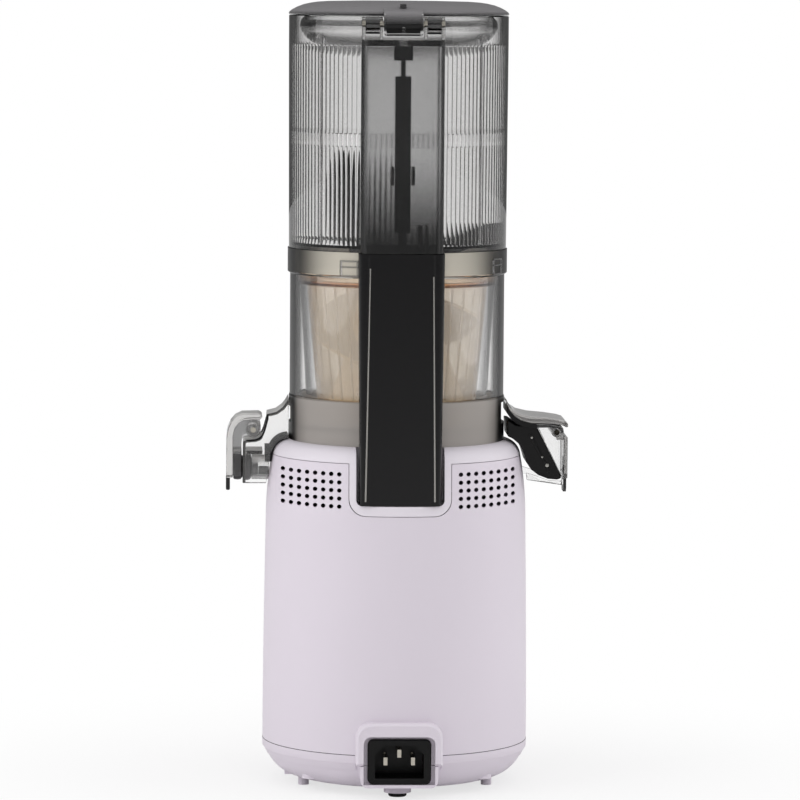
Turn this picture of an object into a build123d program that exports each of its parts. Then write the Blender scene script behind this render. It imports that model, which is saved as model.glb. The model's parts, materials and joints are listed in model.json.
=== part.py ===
from build123d import *
import math
import os

# Upright slow juicer. Millimetres, +Z up, the front faces -Y and the rear +Y.
# The origin is on the table, on the axis of the auger and the motor.

# Heights of the main joints, from the table up
foot_seam_z = 19.3
deck_z = 180.0
cover_seam_z = deck_z - 8.0
chamber_height = 99.5
hopper_height = 119.8
lid_seat_gap = 0.3
lid_height = 7.4
hopper_joint_z = deck_z + chamber_height
hopper_top_z = hopper_joint_z + hopper_height
lid_seat_z = hopper_top_z + lid_seat_gap
lid_top_z = lid_seat_z + lid_height
band_top_z = deck_z + 22.5
ring_foot_z = hopper_joint_z - 12.5

# Radii that the bowl gives to what it stands on, what stands on it and what hangs at its side
bowl_band_radius = 56.0
bowl_radius = bowl_band_radius - 0.4
bowl_ring_radius = bowl_band_radius + 0.9
bowl_wall = 2.5
spout_root_x = bowl_band_radius + 4.0

# Housing shell
body_foot_radius = 68.9
body_mid_radius = 67.7
body_mid_z = deck_z - 42.0
body_straight_top_z = 41.4
body_belly = 0.15
body_deck_radius = bowl_band_radius - 0.2
body_shoulder_radius = body_deck_radius + 8.9
body_wall = 2.5
seam_gap = 0.3
seat_gap = 0.3

# Base plate, feet and screws
plate_rim_radius = 67.4
plate_flat_radius = 52.0
plate_under_z = 4.6
plate_wall = 2.4
foot_circle = 50.0
foot_radius = 4.7
foot_height = 2.2
foot_boss_radius = 7.0
foot_stem_radius = 2.4
leg_radius = 2.75
leg_clearance = 0.3
base_screw_circle = 56.0
base_rib_width = 2.4
base_screw_radius = 1.9
base_screw_head_radius = 3.6
base_screw_length = 22.0
base_boss_radius = 5.2
base_boss_top_z = 46.0

# Vent holes, two groups drilled straight through the rear wall
vent_radius = 1.15
vent_pitch_x = 4.03
vent_pitch_z = 4.08
vent_first_x = 31.0
vent_top_z = cover_seam_z - 5.4
vent_columns = 8
vent_rows = 5

# Mains inlet
inlet_z = 21.3
inlet_face_y = 75.0
hood_width = 44.3
hood_top_z = 41.0
hood_corner = 8.0
hood_mouth_width = 36.5
hood_mouth_depth = 1.0
inlet_frame_width = 39.6
inlet_frame_foot_z = 8.0
flange_width = 32.4
flange_height = 23.1
flange_thickness = 3.0
socket_width = 27.4
socket_height = 19.6
socket_depth = 19.0
cavity_width = 24.8
cavity_height = 16.8
cavity_depth = 17.0
cavity_chamfer = 4.6
pin_spacing = 14.0
pin_rise = 4.0
pin_width = 2.0
pin_height = 4.0
pin_length = 14.5

# Front control
knob_z = 90.0
knob_radius = 15.0
knob_front_y = -75.0
knob_stem_radius = 3.0
knob_hole_clearance = 0.3
switch_width = 22.0
switch_depth = 12.0
switch_neck_gap = 0.5

# Control board, upright in two rails on the base plate
board_x = 53.9
board_thickness = 1.6

# Motor
motor_foot_z = 23.0
bracket_thickness = 5.0
bracket_radius = 48.0
stator_radius = 40.0
stator_bore = 20.5
stator_foot_z = 36.0
rotor_radius = 20.0
rotor_shaft_radius = 4.0
winding_height = 7.0
winding_air = 6.0
winding_inner_radius = 24.0
winding_outer_radius = 36.0
bearing_outer_radius = 11.0
bearing_width = 7.0
bolt_circle = 43.8
bolt_radius = 2.0
grommet_circle = 44.0
grommet_radius = 6.0
grommet_height = 5.0
grommet_angles = (65, 115, 205, 335)
fan_radius = 36.0
fan_height = 7.0
fan_blades = 9

# Gear train, two equal stages that bring the output back onto the motor's axis
gear_module = 1.0
pinion_teeth = 10
wheel_teeth = 50
gear_clearance = 0.12
first_wheel_width = 9.0
second_wheel_width = 13.0
pinion_extra = 2.0
layshaft_radius = 3.0
gearbox_wall = 3.0
gearbox_height = 42.0
gearbox_top_z = deck_z - 32.0
gearbox_floor_z = gearbox_top_z - gearbox_height
stator_height = gearbox_floor_z - bracket_thickness - winding_air - winding_height - stator_foot_z
tower_radius = 15.0
drive_radius = 6.0
drive_bearing_radius = 12.0
drive_bearing_width = 8.0
hex_across = 10.0
hex_top_z = deck_z + 26.0
hex_clearance = 0.2

# Juicing bowl
bowl_floor_z = deck_z + 6.0
bowl_floor_thickness = 3.0
bowl_hub_radius = 11.5
bowl_hub_top_z = deck_z + 20.0
bowl_hub_bore = 9.0
bowl_top_gap = 0.3

# Strainer and auger
strainer_foot_z = deck_z + 9.3
strainer_cup_top_z = deck_z + 22.0
strainer_top_z = hopper_joint_z - 18.5
strainer_foot_radius = 40.0
strainer_top_radius = 45.6
strainer_wall = 1.4
strainer_rim_height = 5.0
strainer_rim_radius = bowl_radius - bowl_wall - 0.5
strainer_slots = 30
strainer_slot_width = 1.2
auger_gap = 0.5
auger_root_top_radius = 19.0
auger_root_foot_radius = 33.0
auger_flight_top_z = strainer_top_z + 1.0
auger_top_z = hopper_joint_z - 9.5
auger_flights = 2
auger_flight_width = 5.0
auger_twist = -300.0
auger_hub_gap = 0.7
wing_hub_radius = 15.0
wing_low_top_z = auger_top_z + 22.0
wing_low_reach = bowl_radius - bowl_wall - 6.1
wing_tall_top_z = auger_top_z + 60.0
wing_thickness = 3.6

# Hopper, its bayonet, channel and flutes
hopper_top_radius = bowl_ring_radius - 0.1
hopper_foot_radius = bowl_ring_radius - 0.6
hopper_wall = 2.5
flute_top_z = hopper_top_z - 14.8
flute_foot_z = hopper_joint_z + 3.1
spigot_radius = bowl_radius - bowl_wall - 0.4
spigot_wall = 2.4
spigot_foot_z = hopper_joint_z - 9.0
lug_count = 4
lug_angle = 12.0
lug_radius = spigot_radius + 1.7
lug_foot_z = hopper_joint_z - 7.0
lug_height = 3.2
unlock_angle = 14.0

# Rear column, rod channel and safety rods
channel_rear_y = hopper_top_radius + 9.8
channel_half_top = 21.0
channel_wall = 2.2
channel_corner = 5.0
channel_top_z = hopper_top_z - 12.1
column_half_top = 21.9
column_half_foot = 20.7
column_corner_top = 6.0
column_corner_foot = 3.4
column_foot_z = deck_z - 28.7
column_front_y = bowl_band_radius - 6.0
column_floor = 2.0
recess_gap = 0.6
strip_half_width = 26.0
strip_foot_z = column_foot_z - 5.3
strip_corner = 8.5
rod_y = channel_rear_y - 5.6
rod_width = 8.0
rod_depth = 3.4
rod_travel = 3.0
upper_bar_foot_z = hopper_joint_z + 10.5
upper_bar_top_z = hopper_top_z - 30.3
upper_stem_width = 2.4
upper_stem_top_z = hopper_top_z - 15.8
guide_width = 9.6
guide_foot_z = hopper_top_z - 22.3
rod_tip_width = 4.0
rod_meeting_z = hopper_joint_z + 0.7
lower_bar_top_z = hopper_joint_z - 4.5
lower_bar_foot_z = column_foot_z + 6.7
plunger_radius = 1.8
plunger_top_z = column_foot_z + 1.3

# Lid and hinge
lid_radius = hopper_top_radius + 0.2
lid_wall = 2.4
lid_flat_radius = lid_radius - 9.0
hinge_y = hopper_top_radius + 4.2
hinge_z = hopper_top_z - 4.1
hinge_barrel_radius = 3.65
hinge_pin_radius = 1.5
hinge_fit = 0.05
hinge_lid_half = 10.0
hinge_ear_inner = 10.4
hinge_ear_outer = 21.0
lug_foot_drop = 6.9
lug_slot_half = 1.5
dish_radius = lid_radius - 4.2
dish_drop = 17.0
dish_wall = 1.6

# Juice spout on +X with its cap
juice_half_width = 12.0
juice_wall = 2.0
juice_foot_z = deck_z - 21.5
juice_tube_z = deck_z - 15.4
juice_tube_outer = 6.4
juice_tube_inner = 4.8
juice_tube_end_x = spout_root_x + 18.6
cheek_end_x = spout_root_x + 19.0
cap_pivot_x = spout_root_x + 14.5
cap_pivot_z = deck_z + 4.9
cap_hub_radius = 5.2
cap_pin_radius = 1.4
cap_arm_top_z = deck_z + 12.3
cap_plate_inner_x = spout_root_x + 24.6
cap_outer_x = spout_root_x + 28.5
cap_plate_foot_z = deck_z - 22.4
cap_tab_foot_z = deck_z - 28.4
cap_half_width = 9.0
plug_radius = 8.0
plug_nose_radius = 4.1
plug_nose_length = 3.4
plug_stud_radius = 3.0

# Pulp spout on -X with its flap and door
pulp_half_width = 18.0
pulp_wall = 2.2
pulp_foot_z = deck_z - 22.8
pulp_roof_end_x = spout_root_x + 26.0
door_pivot_x = spout_root_x + 22.6
door_pivot_z = deck_z + 4.6
door_inner_x = spout_root_x + 26.4
door_outer_x = spout_root_x + 28.5
door_plate_top_z = deck_z + 2.2
door_plate_foot_z = deck_z - 19.6
door_tab_foot_z = deck_z - 27.4
door_half_width = 15.4
door_knuckle_radius = 2.6
flap_tip_x = spout_root_x + 25.0
flap_tip_z = deck_z - 20.4
spout_body_gap = 0.6
packing_gap = 0.3
packing_thickness = 2.0
packing_half_width = 9.0
packing_inner_x = bowl_band_radius + 0.6


def ring(outer_radius, inner_radius, foot_z, top_z, centre=(0, 0)):
    height = top_z - foot_z
    body = Cylinder(outer_radius, height, align=(Align.CENTER, Align.CENTER, Align.MIN))
    if inner_radius > 0:
        body -= Cylinder(inner_radius, height, align=(Align.CENTER, Align.CENTER, Align.MIN))
    return Pos(centre[0], centre[1], foot_z) * body


def block(x_from, x_to, y_from, y_to, z_from, z_to):
    corner = Align.MIN
    size = (x_to - x_from, y_to - y_from, z_to - z_from)
    return Pos(x_from, y_from, z_from) * Box(*size, align=(corner, corner, corner))


def rod_along_x(radius, x_from, x_to, y, z):
    cylinder = Cylinder(radius, x_to - x_from, rotation=(0, 90, 0))
    return Pos((x_from + x_to) / 2, y, z) * cylinder


def rod_along_y(radius, y_from, y_to, x, z):
    cylinder = Cylinder(radius, y_to - y_from, rotation=(90, 0, 0))
    return Pos(x, (y_from + y_to) / 2, z) * cylinder


def turned(edges):
    # A solid of revolution about Z; the outline's points are (radius, height).
    outline = make_face(Plane.XZ * Wire(edges))
    return revolve(outline, Axis.Z)


def turned_polygon(points):
    return turned(Polyline(*points, close=True).edges())


def around(count, radius, start=0.0):
    step = 360.0 / count
    return [Rot(0, 0, start + step * i) * Pos(radius, 0, 0) for i in range(count)]


def polar(radius, degrees):
    angle = math.radians(degrees)
    return (radius * math.cos(angle), radius * math.sin(angle))


def joined(solids):
    whole = solids[0]
    for solid in solids[1:]:
        whole += solid
    return whole


def body_solid(inset):
    # The housing and top cover share one outline; inset gives its inner face.
    foot = body_foot_radius - inset
    middle = body_mid_radius - inset
    shoulder = body_shoulder_radius - inset
    deck = body_deck_radius - 0.4 * inset
    top = deck_z - inset
    straight_top = body_straight_top_z
    edges = [
        Line((0, foot_seam_z - 5), (foot, foot_seam_z - 5)),
        Line((foot, foot_seam_z - 5), (foot, straight_top)),
        ThreePointArc(
            (foot, straight_top),
            ((foot + middle) / 2 + body_belly, (straight_top + body_mid_z) / 2),
            (middle, body_mid_z),
        ),
        ThreePointArc(
            (middle, body_mid_z),
            (middle - 0.95, (body_mid_z + cover_seam_z) / 2 + 2),
            (shoulder, cover_seam_z),
        ),
        ThreePointArc(
            (shoulder, cover_seam_z),
            (shoulder - 3.0, cover_seam_z + 5.8 - 0.8 * inset),
            (deck, top),
        ),
        Line((deck, top), (0, top)),
        Line((0, top), (0, foot_seam_z - 5)),
    ]
    return turned(edges)


def upright_slot(half_width, foot_z, top_z, corner, y_from, y_to):
    # A U-shaped prism along Y, open at the top, with rounded lower corners.
    height = top_z - foot_z
    slot = block(-half_width, half_width, y_from, y_to, foot_z, top_z)
    lower = slot.edges().filter_by(Axis.Y).sort_by(Axis.Z)[:2]
    return fillet(lower, corner)


def pin_section(half_width, front_y, rear_y, corner):
    # Plan outline of the column: square at the front, rounded at the rear.
    depth = rear_y - front_y
    outline = Pos(0, (front_y + rear_y) / 2) * Rectangle(2 * half_width, depth)
    return fillet(outline.vertices().sort_by(Axis.Y)[-2:], corner)


def column_solid(inset, foot_z, top_z):
    share = (top_z - column_foot_z) / (hopper_joint_z - column_foot_z)
    half_top = column_half_foot + (column_half_top - column_half_foot) * share
    foot = pin_section(
        column_half_foot - inset,
        column_front_y + inset - 6,
        channel_rear_y - inset,
        max(column_corner_foot - inset, 0.8),
    )
    top = pin_section(
        half_top - inset,
        column_front_y + inset - 6,
        channel_rear_y - inset,
        max(column_corner_top - inset, 0.8),
    )
    return loft([Pos(0, 0, foot_z) * foot, Pos(0, 0, top_z) * top])


def gear_teeth(teeth, width, bore, slim):
    # Straight-flanked teeth at the module above; slim takes backlash off each flank.
    pitch_radius = gear_module * teeth / 2
    tip = pitch_radius + 0.85 * gear_module
    root = pitch_radius - 1.05 * gear_module
    pitch = 2 * math.pi / teeth
    points = []
    for tooth in range(teeth):
        middle = tooth * pitch
        root_half = pitch * 0.36 - slim / root
        tip_half = pitch * 0.13 - slim / tip * 0.5
        for radius, angle in (
            (root, middle - root_half),
            (tip, middle - tip_half),
            (tip, middle + tip_half),
            (root, middle + root_half),
        ):
            points.append((radius * math.cos(angle), radius * math.sin(angle)))
    outline = make_face(Polyline(*points, close=True))
    wheel = extrude(outline, width)
    return wheel - Cylinder(bore, width * 3) if bore else wheel


# ---- Base: shells --------------------------------------------------------------------------


def vent_cutters():
    cutters = []
    for side in (-1, 1):
        for column in range(vent_columns):
            for row in range(vent_rows):
                x = side * (vent_first_x + column * vent_pitch_x)
                z = vent_top_z - row * vent_pitch_z
                cutters.append(rod_along_y(vent_radius, 15, 90, x, z))
    return cutters


def hood_block(width, foot_z, top_z, corner):
    hood = block(-width / 2, width / 2, inlet_face_y - 15, inlet_face_y, foot_z, top_z)
    hood = fillet(hood.edges().filter_by(Axis.Y).sort_by(Axis.Z)[-2:], corner)
    rim = hood.faces().sort_by(Axis.Y)[-1].edges()
    return chamfer(rim, 1.2)


def inlet_cutter():
    mouth_top = inlet_z + flange_height / 2 + 1.4
    mouth = block(
        -hood_mouth_width / 2,
        hood_mouth_width / 2,
        inlet_face_y - flange_thickness - hood_mouth_depth,
        inlet_face_y + 5,
        inlet_z - flange_height / 2 - 0.2,
        mouth_top,
    )
    mouth = fillet(mouth.edges().filter_by(Axis.Y).sort_by(Axis.Z)[-2:], 4.0)
    throat = block(
        -socket_width / 2 - 0.2,
        socket_width / 2 + 0.2,
        50,
        inlet_face_y,
        inlet_z - socket_height / 2 - 0.2,
        inlet_z + socket_height / 2 + 0.2,
    )
    return mouth + throat


def base_screw_places():
    return [polar(base_screw_circle, angle) for angle in (40, 140, 220, 320)]


def screw_rib(x, y, foot_z, top_z):
    # A web that ties a screw boss to the wall outside it.
    turn = math.degrees(math.atan2(y, x))
    web = block(base_screw_circle, body_foot_radius - 0.5, -base_rib_width / 2, base_rib_width / 2, foot_z, top_z)
    return Rot(0, 0, turn) * web


def main_housing():
    outer = body_solid(0)
    inner = body_solid(body_wall)
    cut_box = block(-90, 90, -90, 90, foot_seam_z, cover_seam_z)
    shell = (outer - inner) & cut_box
    for x, y in base_screw_places():
        boss = ring(base_boss_radius, 0, foot_seam_z, base_boss_top_z, (x, y))
        boss += screw_rib(x, y, foot_seam_z, base_boss_top_z)
        shell += boss & outer
        bore = ring(base_screw_radius, 0, 0, foot_seam_z + base_screw_length, (x, y))
        shell -= bore
    shell += hood_block(hood_width, foot_seam_z, hood_top_z, hood_corner) - body_solid(body_wall)
    shell -= inlet_cutter()
    shell -= upright_slot(
        strip_half_width + seam_gap,
        strip_foot_z - seam_gap,
        deck_z + 5,
        strip_corner,
        40,
        90,
    )
    knob_bore = rod_along_y(knob_stem_radius + knob_hole_clearance, knob_front_y - 15, knob_front_y + 25, 0, knob_z)
    shell -= knob_bore
    for cutter in vent_cutters():
        shell -= cutter
    return shell


def top_cover():
    outer = body_solid(0)
    inner = body_solid(body_wall)
    strip = upright_slot(strip_half_width, strip_foot_z, deck_z + 5, strip_corner, column_front_y - 10, channel_rear_y + 20)
    region = block(-90, 90, -90, 90, cover_seam_z + seam_gap, deck_z + 5) + strip
    cover = (outer - inner) & region
    pocket_y = column_front_y - recess_gap
    pocket_foot_z = column_foot_z - seat_gap
    half = column_half_top + recess_gap
    lining = upright_slot(
        half + body_wall - 0.6,
        pocket_foot_z - body_wall,
        deck_z - 0.1,
        strip_corner - 2,
        pocket_y - body_wall,
        90,
    )
    cover += lining & outer
    cavity = upright_slot(half, pocket_foot_z, deck_z + 5, 3.0, pocket_y, 95)
    cover -= cavity
    boss = ring(14.0, 0, deck_z - body_wall, deck_z + 4.0)
    cover += boss
    cover -= ring(drive_bearing_radius - 2.5, 0, deck_z - 6, deck_z + 6)
    plunger_hole = ring(plunger_radius + 0.3, 0, pocket_foot_z - 9, pocket_foot_z + 1, (0, rod_y))
    cover -= plunger_hole
    return cover


def base_plate():
    outline = [
        Line((0, plate_under_z), (plate_flat_radius, plate_under_z)),
        ThreePointArc(
            (plate_flat_radius, plate_under_z), (plate_rim_radius - 6.4, plate_under_z + 4.0), (plate_rim_radius, foot_seam_z - seam_gap)
        ),
        Line((plate_rim_radius, foot_seam_z - seam_gap), (plate_rim_radius - plate_wall, foot_seam_z - seam_gap)),
        ThreePointArc(
            (plate_rim_radius - plate_wall, foot_seam_z - seam_gap),
            (plate_rim_radius - 8.0, plate_under_z + 6.3),
            (plate_flat_radius - 0.6, plate_under_z + plate_wall),
        ),
        Line((plate_flat_radius - 0.6, plate_under_z + plate_wall), (0, plate_under_z + plate_wall)),
        Line((0, plate_under_z + plate_wall), (0, plate_under_z)),
    ]
    plate = turned(outline)
    frame = block(
        -inlet_frame_width / 2, inlet_frame_width / 2, 57, inlet_face_y, inlet_frame_foot_z,
        foot_seam_z - seam_gap,
    )
    frame = fillet(frame.edges().filter_by(Axis.Y).sort_by(Axis.Z)[:2], 4.0)
    frame -= ring(plate_flat_radius + 8, 0, 0, 40)
    plate += frame
    plate -= inlet_cutter()
    for angle in (90, -54, -126):
        plate += ring(foot_boss_radius, 0, foot_height, plate_under_z + 3.4, polar(foot_circle, angle))
        plate -= ring(foot_stem_radius, 0, 0, 20, polar(foot_circle, angle))
    for angle in (18, 162):
        plate += ring(leg_radius, 0, leg_clearance, plate_under_z + 1, polar(foot_circle, angle))
    for x, y in base_screw_places():
        plate += ring(base_boss_radius + 0.8, 0, plate_under_z + 2.6, foot_seam_z - seam_gap, (x, y))
        plate -= ring(base_screw_radius + 0.3, 0, 0, 40, (x, y))
        plate -= ring(base_screw_head_radius + 0.3, 0, 0, plate_under_z + 6.0, (x, y))
    for angle in grommet_angles:
        plate += ring(5.0, 0, plate_under_z + 1, motor_foot_z - grommet_height, polar(grommet_circle, angle))
    for side in (-1, 1):
        rail = block(board_x - 2.4, board_x + 3.6, side * 17 - 2, side * 17 + 2, plate_under_z + 1.5, 18.0)
        rail -= block(board_x - 0.2, board_x + board_thickness + 0.2, -40, 40, 11.5, 60.0)
        plate += rail
    return plate


def rubber_feet():
    feet = []
    for angle in (90, -54, -126):
        centre = polar(foot_circle, angle)
        pad = ring(foot_radius, 0, 0, foot_height, centre)
        pad = chamfer(pad.edges().sort_by(Axis.Z)[0], 0.5)
        feet.append(pad + ring(foot_stem_radius, 0, foot_height, plate_under_z + 3.0, centre))
    return Compound(feet)


def base_screws():
    screws = []
    for x, y in base_screw_places():
        head_z = plate_under_z + 6.0
        head = ring(base_screw_head_radius, 0, head_z - 2.6, head_z, (x, y))
        head -= Pos(x, y, head_z - 2.6) * Box(5.0, 0.9, 2.4)
        shank = ring(base_screw_radius, 0, head_z, foot_seam_z + base_screw_length - 1, (x, y))
        screws.append(head + shank)
    return Compound(screws)


# ---- Base: mains inlet, switches and board ---------------------------------------------------


def inlet_socket():
    face_y = inlet_face_y - hood_mouth_depth
    flange = block(
        -flange_width / 2, flange_width / 2, face_y - flange_thickness, face_y,
        inlet_z - flange_height / 2, inlet_z + flange_height / 2,
    )
    flange = fillet(flange.edges().filter_by(Axis.Y), 3.0)
    flange = chamfer(flange.faces().sort_by(Axis.Y)[-1].edges(), 0.6)
    can = block(
        -socket_width / 2, socket_width / 2, face_y - flange_thickness - socket_depth, face_y - 1,
        inlet_z - socket_height / 2, inlet_z + socket_height / 2,
    )
    cavity = block(
        -cavity_width / 2, cavity_width / 2, face_y - cavity_depth, face_y + 3,
        inlet_z - cavity_height / 2, inlet_z + cavity_height / 2,
    )
    upper = cavity.edges().filter_by(Axis.Y).sort_by(Axis.Z)[-2:]
    cavity = chamfer(upper, cavity_chamfer)
    socket = flange + can - cavity
    for pin in inlet_pins().solids():
        socket -= pin
    return socket


def inlet_pins():
    face_y = inlet_face_y - hood_mouth_depth
    places = [(-pin_spacing / 2, 0), (pin_spacing / 2, 0), (0, pin_rise)]
    back_y = face_y - flange_thickness - socket_depth - 2.5
    pins = []
    for x, rise in places:
        z = inlet_z + rise
        pin = block(
            x - pin_width / 2, x + pin_width / 2, face_y - cavity_depth, face_y - cavity_depth + pin_length,
            z - pin_height / 2, z + pin_height / 2,
        )
        tail = block(x - 0.4, x + 0.4, back_y, face_y - cavity_depth, z - 2.4, z + 2.4)
        pins.append(pin + tail)
    return Compound(pins)


def belly_radius():
    return (body_foot_radius + body_mid_radius) / 2 + body_belly


def rotary_switch():
    wall_y = -(belly_radius() - body_wall - 1.0)
    case = block(-switch_width / 2, switch_width / 2, wall_y + 1.0, wall_y + 1.0 + switch_depth,
                 knob_z - switch_width / 2, knob_z + switch_width / 2)
    case = chamfer(case.edges().filter_by(Axis.Y), 2.0)
    neck = rod_along_y(6.0, wall_y - 1.0 + switch_neck_gap, wall_y + 1.0, 0, knob_z)
    case += neck
    case -= rod_along_y(knob_stem_radius + hinge_fit, knob_front_y - 15, wall_y + 8.0, 0, knob_z)
    for x in (-7, 0, 7):
        case += block(x - 2, x + 2, wall_y + 1 + switch_depth, wall_y + 5 + switch_depth, knob_z - 7.5, knob_z - 6.5)
    return case


def control_knob():
    knob_back_y = -(belly_radius() + 0.45)
    rim = rod_along_y(knob_radius, knob_front_y, knob_back_y, 0, knob_z)
    rim = fillet(rim.edges().sort_by(Axis.Y)[0], 1.5)
    grip = block(-3.2, 3.2, knob_front_y, knob_front_y + 4.0, knob_z - 12, knob_z + 12)
    grip = fillet(grip.edges().filter_by(Axis.Y), 3.0)
    face_cut = rod_along_y(knob_radius - 2.0, knob_front_y - 1, knob_front_y + 1.6, 0, knob_z)
    wall_y = -(belly_radius() - body_wall - 1.0)
    stem = rod_along_y(knob_stem_radius, knob_back_y, wall_y + 7.5, 0, knob_z)
    return rim - face_cut + grip + stem


def control_board():
    board = block(board_x, board_x + board_thickness, -19, 19, 11.8, 78)
    relay = block(board_x - 3.4, board_x, -14, -2, 52, 66)
    parts = [board, relay]
    capacitor = rod_along_x(4.0, board_x - 3.3, board_x, 10, 60)
    parts.append(capacitor)
    parts.append(block(board_x - 3.1, board_x, 2, 18, 30, 42))
    return joined(parts)


def interlock_switch():
    floor_under_z = column_foot_z - seat_gap - body_wall
    case = block(-9.8, 9.8, rod_y - 4.9, rod_y + 2.0, floor_under_z - 15.5, floor_under_z)
    case -= ring(plunger_radius + hinge_fit, 0, floor_under_z - 8.0, floor_under_z + 1, (0, rod_y))
    for x in (-7.5, 0, 7.5):
        case += block(x - 1.6, x + 1.6, rod_y - 2.4, rod_y - 1.6, floor_under_z - 20, floor_under_z - 15.5)
    for x in (-4.8, 4.8):
        case -= rod_along_y(1.2, 40, 80, x, floor_under_z - 12.0)
    return case


def switch_plunger():
    floor_under_z = column_foot_z - seat_gap - body_wall
    return ring(plunger_radius, 0, floor_under_z - 7.0, plunger_top_z, (0, rod_y))


# ---- Base: motor and gearbox -----------------------------------------------------------------

stator_top_z = stator_foot_z + stator_height
upper_bracket_z = gearbox_floor_z - bracket_thickness


def bolt_places():
    return [polar(bolt_circle, angle) for angle in (45, 135, 225, 315)]


def motor_bracket_lower():
    bracket = ring(bracket_radius, 0, motor_foot_z, motor_foot_z + bracket_thickness)
    wall = ring(stator_radius + 1.5, stator_radius - 1.5, motor_foot_z, stator_foot_z)
    bracket += wall
    bracket += ring(bearing_outer_radius + 2.5, 0, motor_foot_z, motor_foot_z + bearing_width + 2)
    bracket -= ring(bearing_outer_radius, 0, motor_foot_z + 2, motor_foot_z + 20)
    bracket -= ring(rotor_shaft_radius + 1, 0, 0, motor_foot_z + 20)
    for x, y in bolt_places():
        bracket -= ring(bolt_radius + 0.2, 0, 0, 200, (x, y))
    for place in around(8, 24.0, 22.5):
        bracket -= place * Pos(0, 0, motor_foot_z) * Box(13, 8, 30)
    return bracket


def motor_bracket_upper():
    top = gearbox_floor_z
    bracket = ring(bracket_radius, 0, upper_bracket_z, top)
    bracket += ring(stator_radius + 1.5, stator_radius - 1.5, stator_top_z, top)
    bracket += ring(bearing_outer_radius + 2.5, 0, top - bearing_width - 2, top)
    bracket -= ring(bearing_outer_radius, 0, top - 20, top - 2)
    bracket -= ring(rotor_shaft_radius + 1, 0, top - 20, top + 5)
    for x, y in bolt_places():
        bracket -= ring(bolt_radius + 0.2, 0, 0, 200, (x, y))
    return bracket


def motor_stator():
    stack = ring(stator_radius, stator_bore, stator_foot_z, stator_top_z)
    for place in around(8, 29.5, 22.5):
        stack -= place * Pos(0, 0, (stator_foot_z + stator_top_z) / 2) * Box(10, 8, stator_height + 2)
    return stack


def stator_windings():
    coils = []
    for foot_z in (stator_foot_z - winding_height, stator_top_z):
        coil = ring(winding_outer_radius, winding_inner_radius, foot_z, foot_z + winding_height)
        edges = coil.edges().filter_by(GeomType.CIRCLE)
        outer = [e for e in edges if e.radius > winding_outer_radius - 0.1]
        coils.append(fillet(outer, 2.4))
    for place in around(8, 29.5, 22.5):
        middle = (stator_foot_z + stator_top_z) / 2
        coils.append(place * Pos(0, 0, middle) * Box(9.2, 7.2, stator_height))
    return joined(coils)


def motor_bearings():
    lower = ring(bearing_outer_radius, rotor_shaft_radius + hinge_fit, motor_foot_z + 2,
                 motor_foot_z + 2 + bearing_width)
    upper = ring(bearing_outer_radius, rotor_shaft_radius + hinge_fit,
                 gearbox_floor_z - 2 - bearing_width, gearbox_floor_z - 2)
    return Compound([bearing_with_grooves(lower), bearing_with_grooves(upper)])


def bearing_with_grooves(race):
    # A shallow groove on each face parts the inner race from the outer one.
    box = race.bounding_box()
    width = box.max.Z - box.min.Z
    outer = (box.max.X - box.min.X) / 2
    bore = rotor_shaft_radius if outer < bearing_outer_radius + 0.1 else drive_radius
    middle = (outer + bore) / 2
    groove = ring(middle + 1.4, middle - 1.4, 0, 0.6)
    race -= Pos(0, 0, box.min.Z) * groove
    race -= Pos(0, 0, box.min.Z + width - 0.6) * groove
    return race


def motor_bolts():
    bolts = []
    for x, y in bolt_places():
        shank = ring(bolt_radius, 0, motor_foot_z, gearbox_floor_z + 4, (x, y))
        head = ring(3.6, 0, motor_foot_z - 2.6, motor_foot_z, (x, y))
        bolts.append(head + shank)
    return Compound(bolts)


def motor_grommets():
    pads = []
    for angle in grommet_angles:
        pads.append(ring(grommet_radius, 0, motor_foot_z - grommet_height, motor_foot_z,
                         polar(grommet_circle, angle)))
    return Compound(pads)


first_wheel_z = gearbox_floor_z + 6.0
first_pinion_top_z = first_wheel_z + first_wheel_width + 1.0
second_wheel_z = first_pinion_top_z + 3.0
gear_distance = gear_module * (pinion_teeth + wheel_teeth) / 2
wheel_tip = gear_module * (wheel_teeth / 2 + 1)


def rotor_core():
    core = ring(rotor_radius, rotor_shaft_radius, stator_foot_z, stator_foot_z + stator_height)
    core += ring(rotor_radius - 2, rotor_radius - 6, stator_foot_z - 4, stator_foot_z + stator_height + 4)
    return core


def rotor_shaft():
    shaft = ring(rotor_shaft_radius, 0, motor_foot_z - fan_height - 6.0, first_wheel_z - 1)
    half_pitch = 180.0 / pinion_teeth
    pinion = Rot(0, 0, half_pitch - 90) * gear_teeth(pinion_teeth, first_wheel_width + pinion_extra, 0, gear_clearance)
    return shaft + Pos(0, 0, first_wheel_z - 1) * pinion


def cooling_fan():
    foot_z = motor_foot_z - fan_height - 4.5
    hub = ring(9.0, rotor_shaft_radius, foot_z, foot_z + fan_height)
    plate = ring(fan_radius, rotor_shaft_radius, foot_z + fan_height - 1.6, foot_z + fan_height)
    fan = hub + plate
    blade_from = 8.0
    blade_to = fan_radius - 1.5
    for place in around(fan_blades, (blade_from + blade_to) / 2):
        blade = Pos(0, 0, foot_z + fan_height / 2) * Box(blade_to - blade_from, 1.4, fan_height)
        fan += place * blade
    return fan - ring(rotor_shaft_radius, 0, 0, 100)


def first_wheel():
    wheel = gear_teeth(wheel_teeth, first_wheel_width, layshaft_radius, gear_clearance)
    wheel -= Pos(0, 0, first_wheel_width - 2.0) * ring(20.0, 8.0, 0, 4)
    return Pos(0, -gear_distance, first_wheel_z) * Rot(0, 0, 90) * wheel


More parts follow.
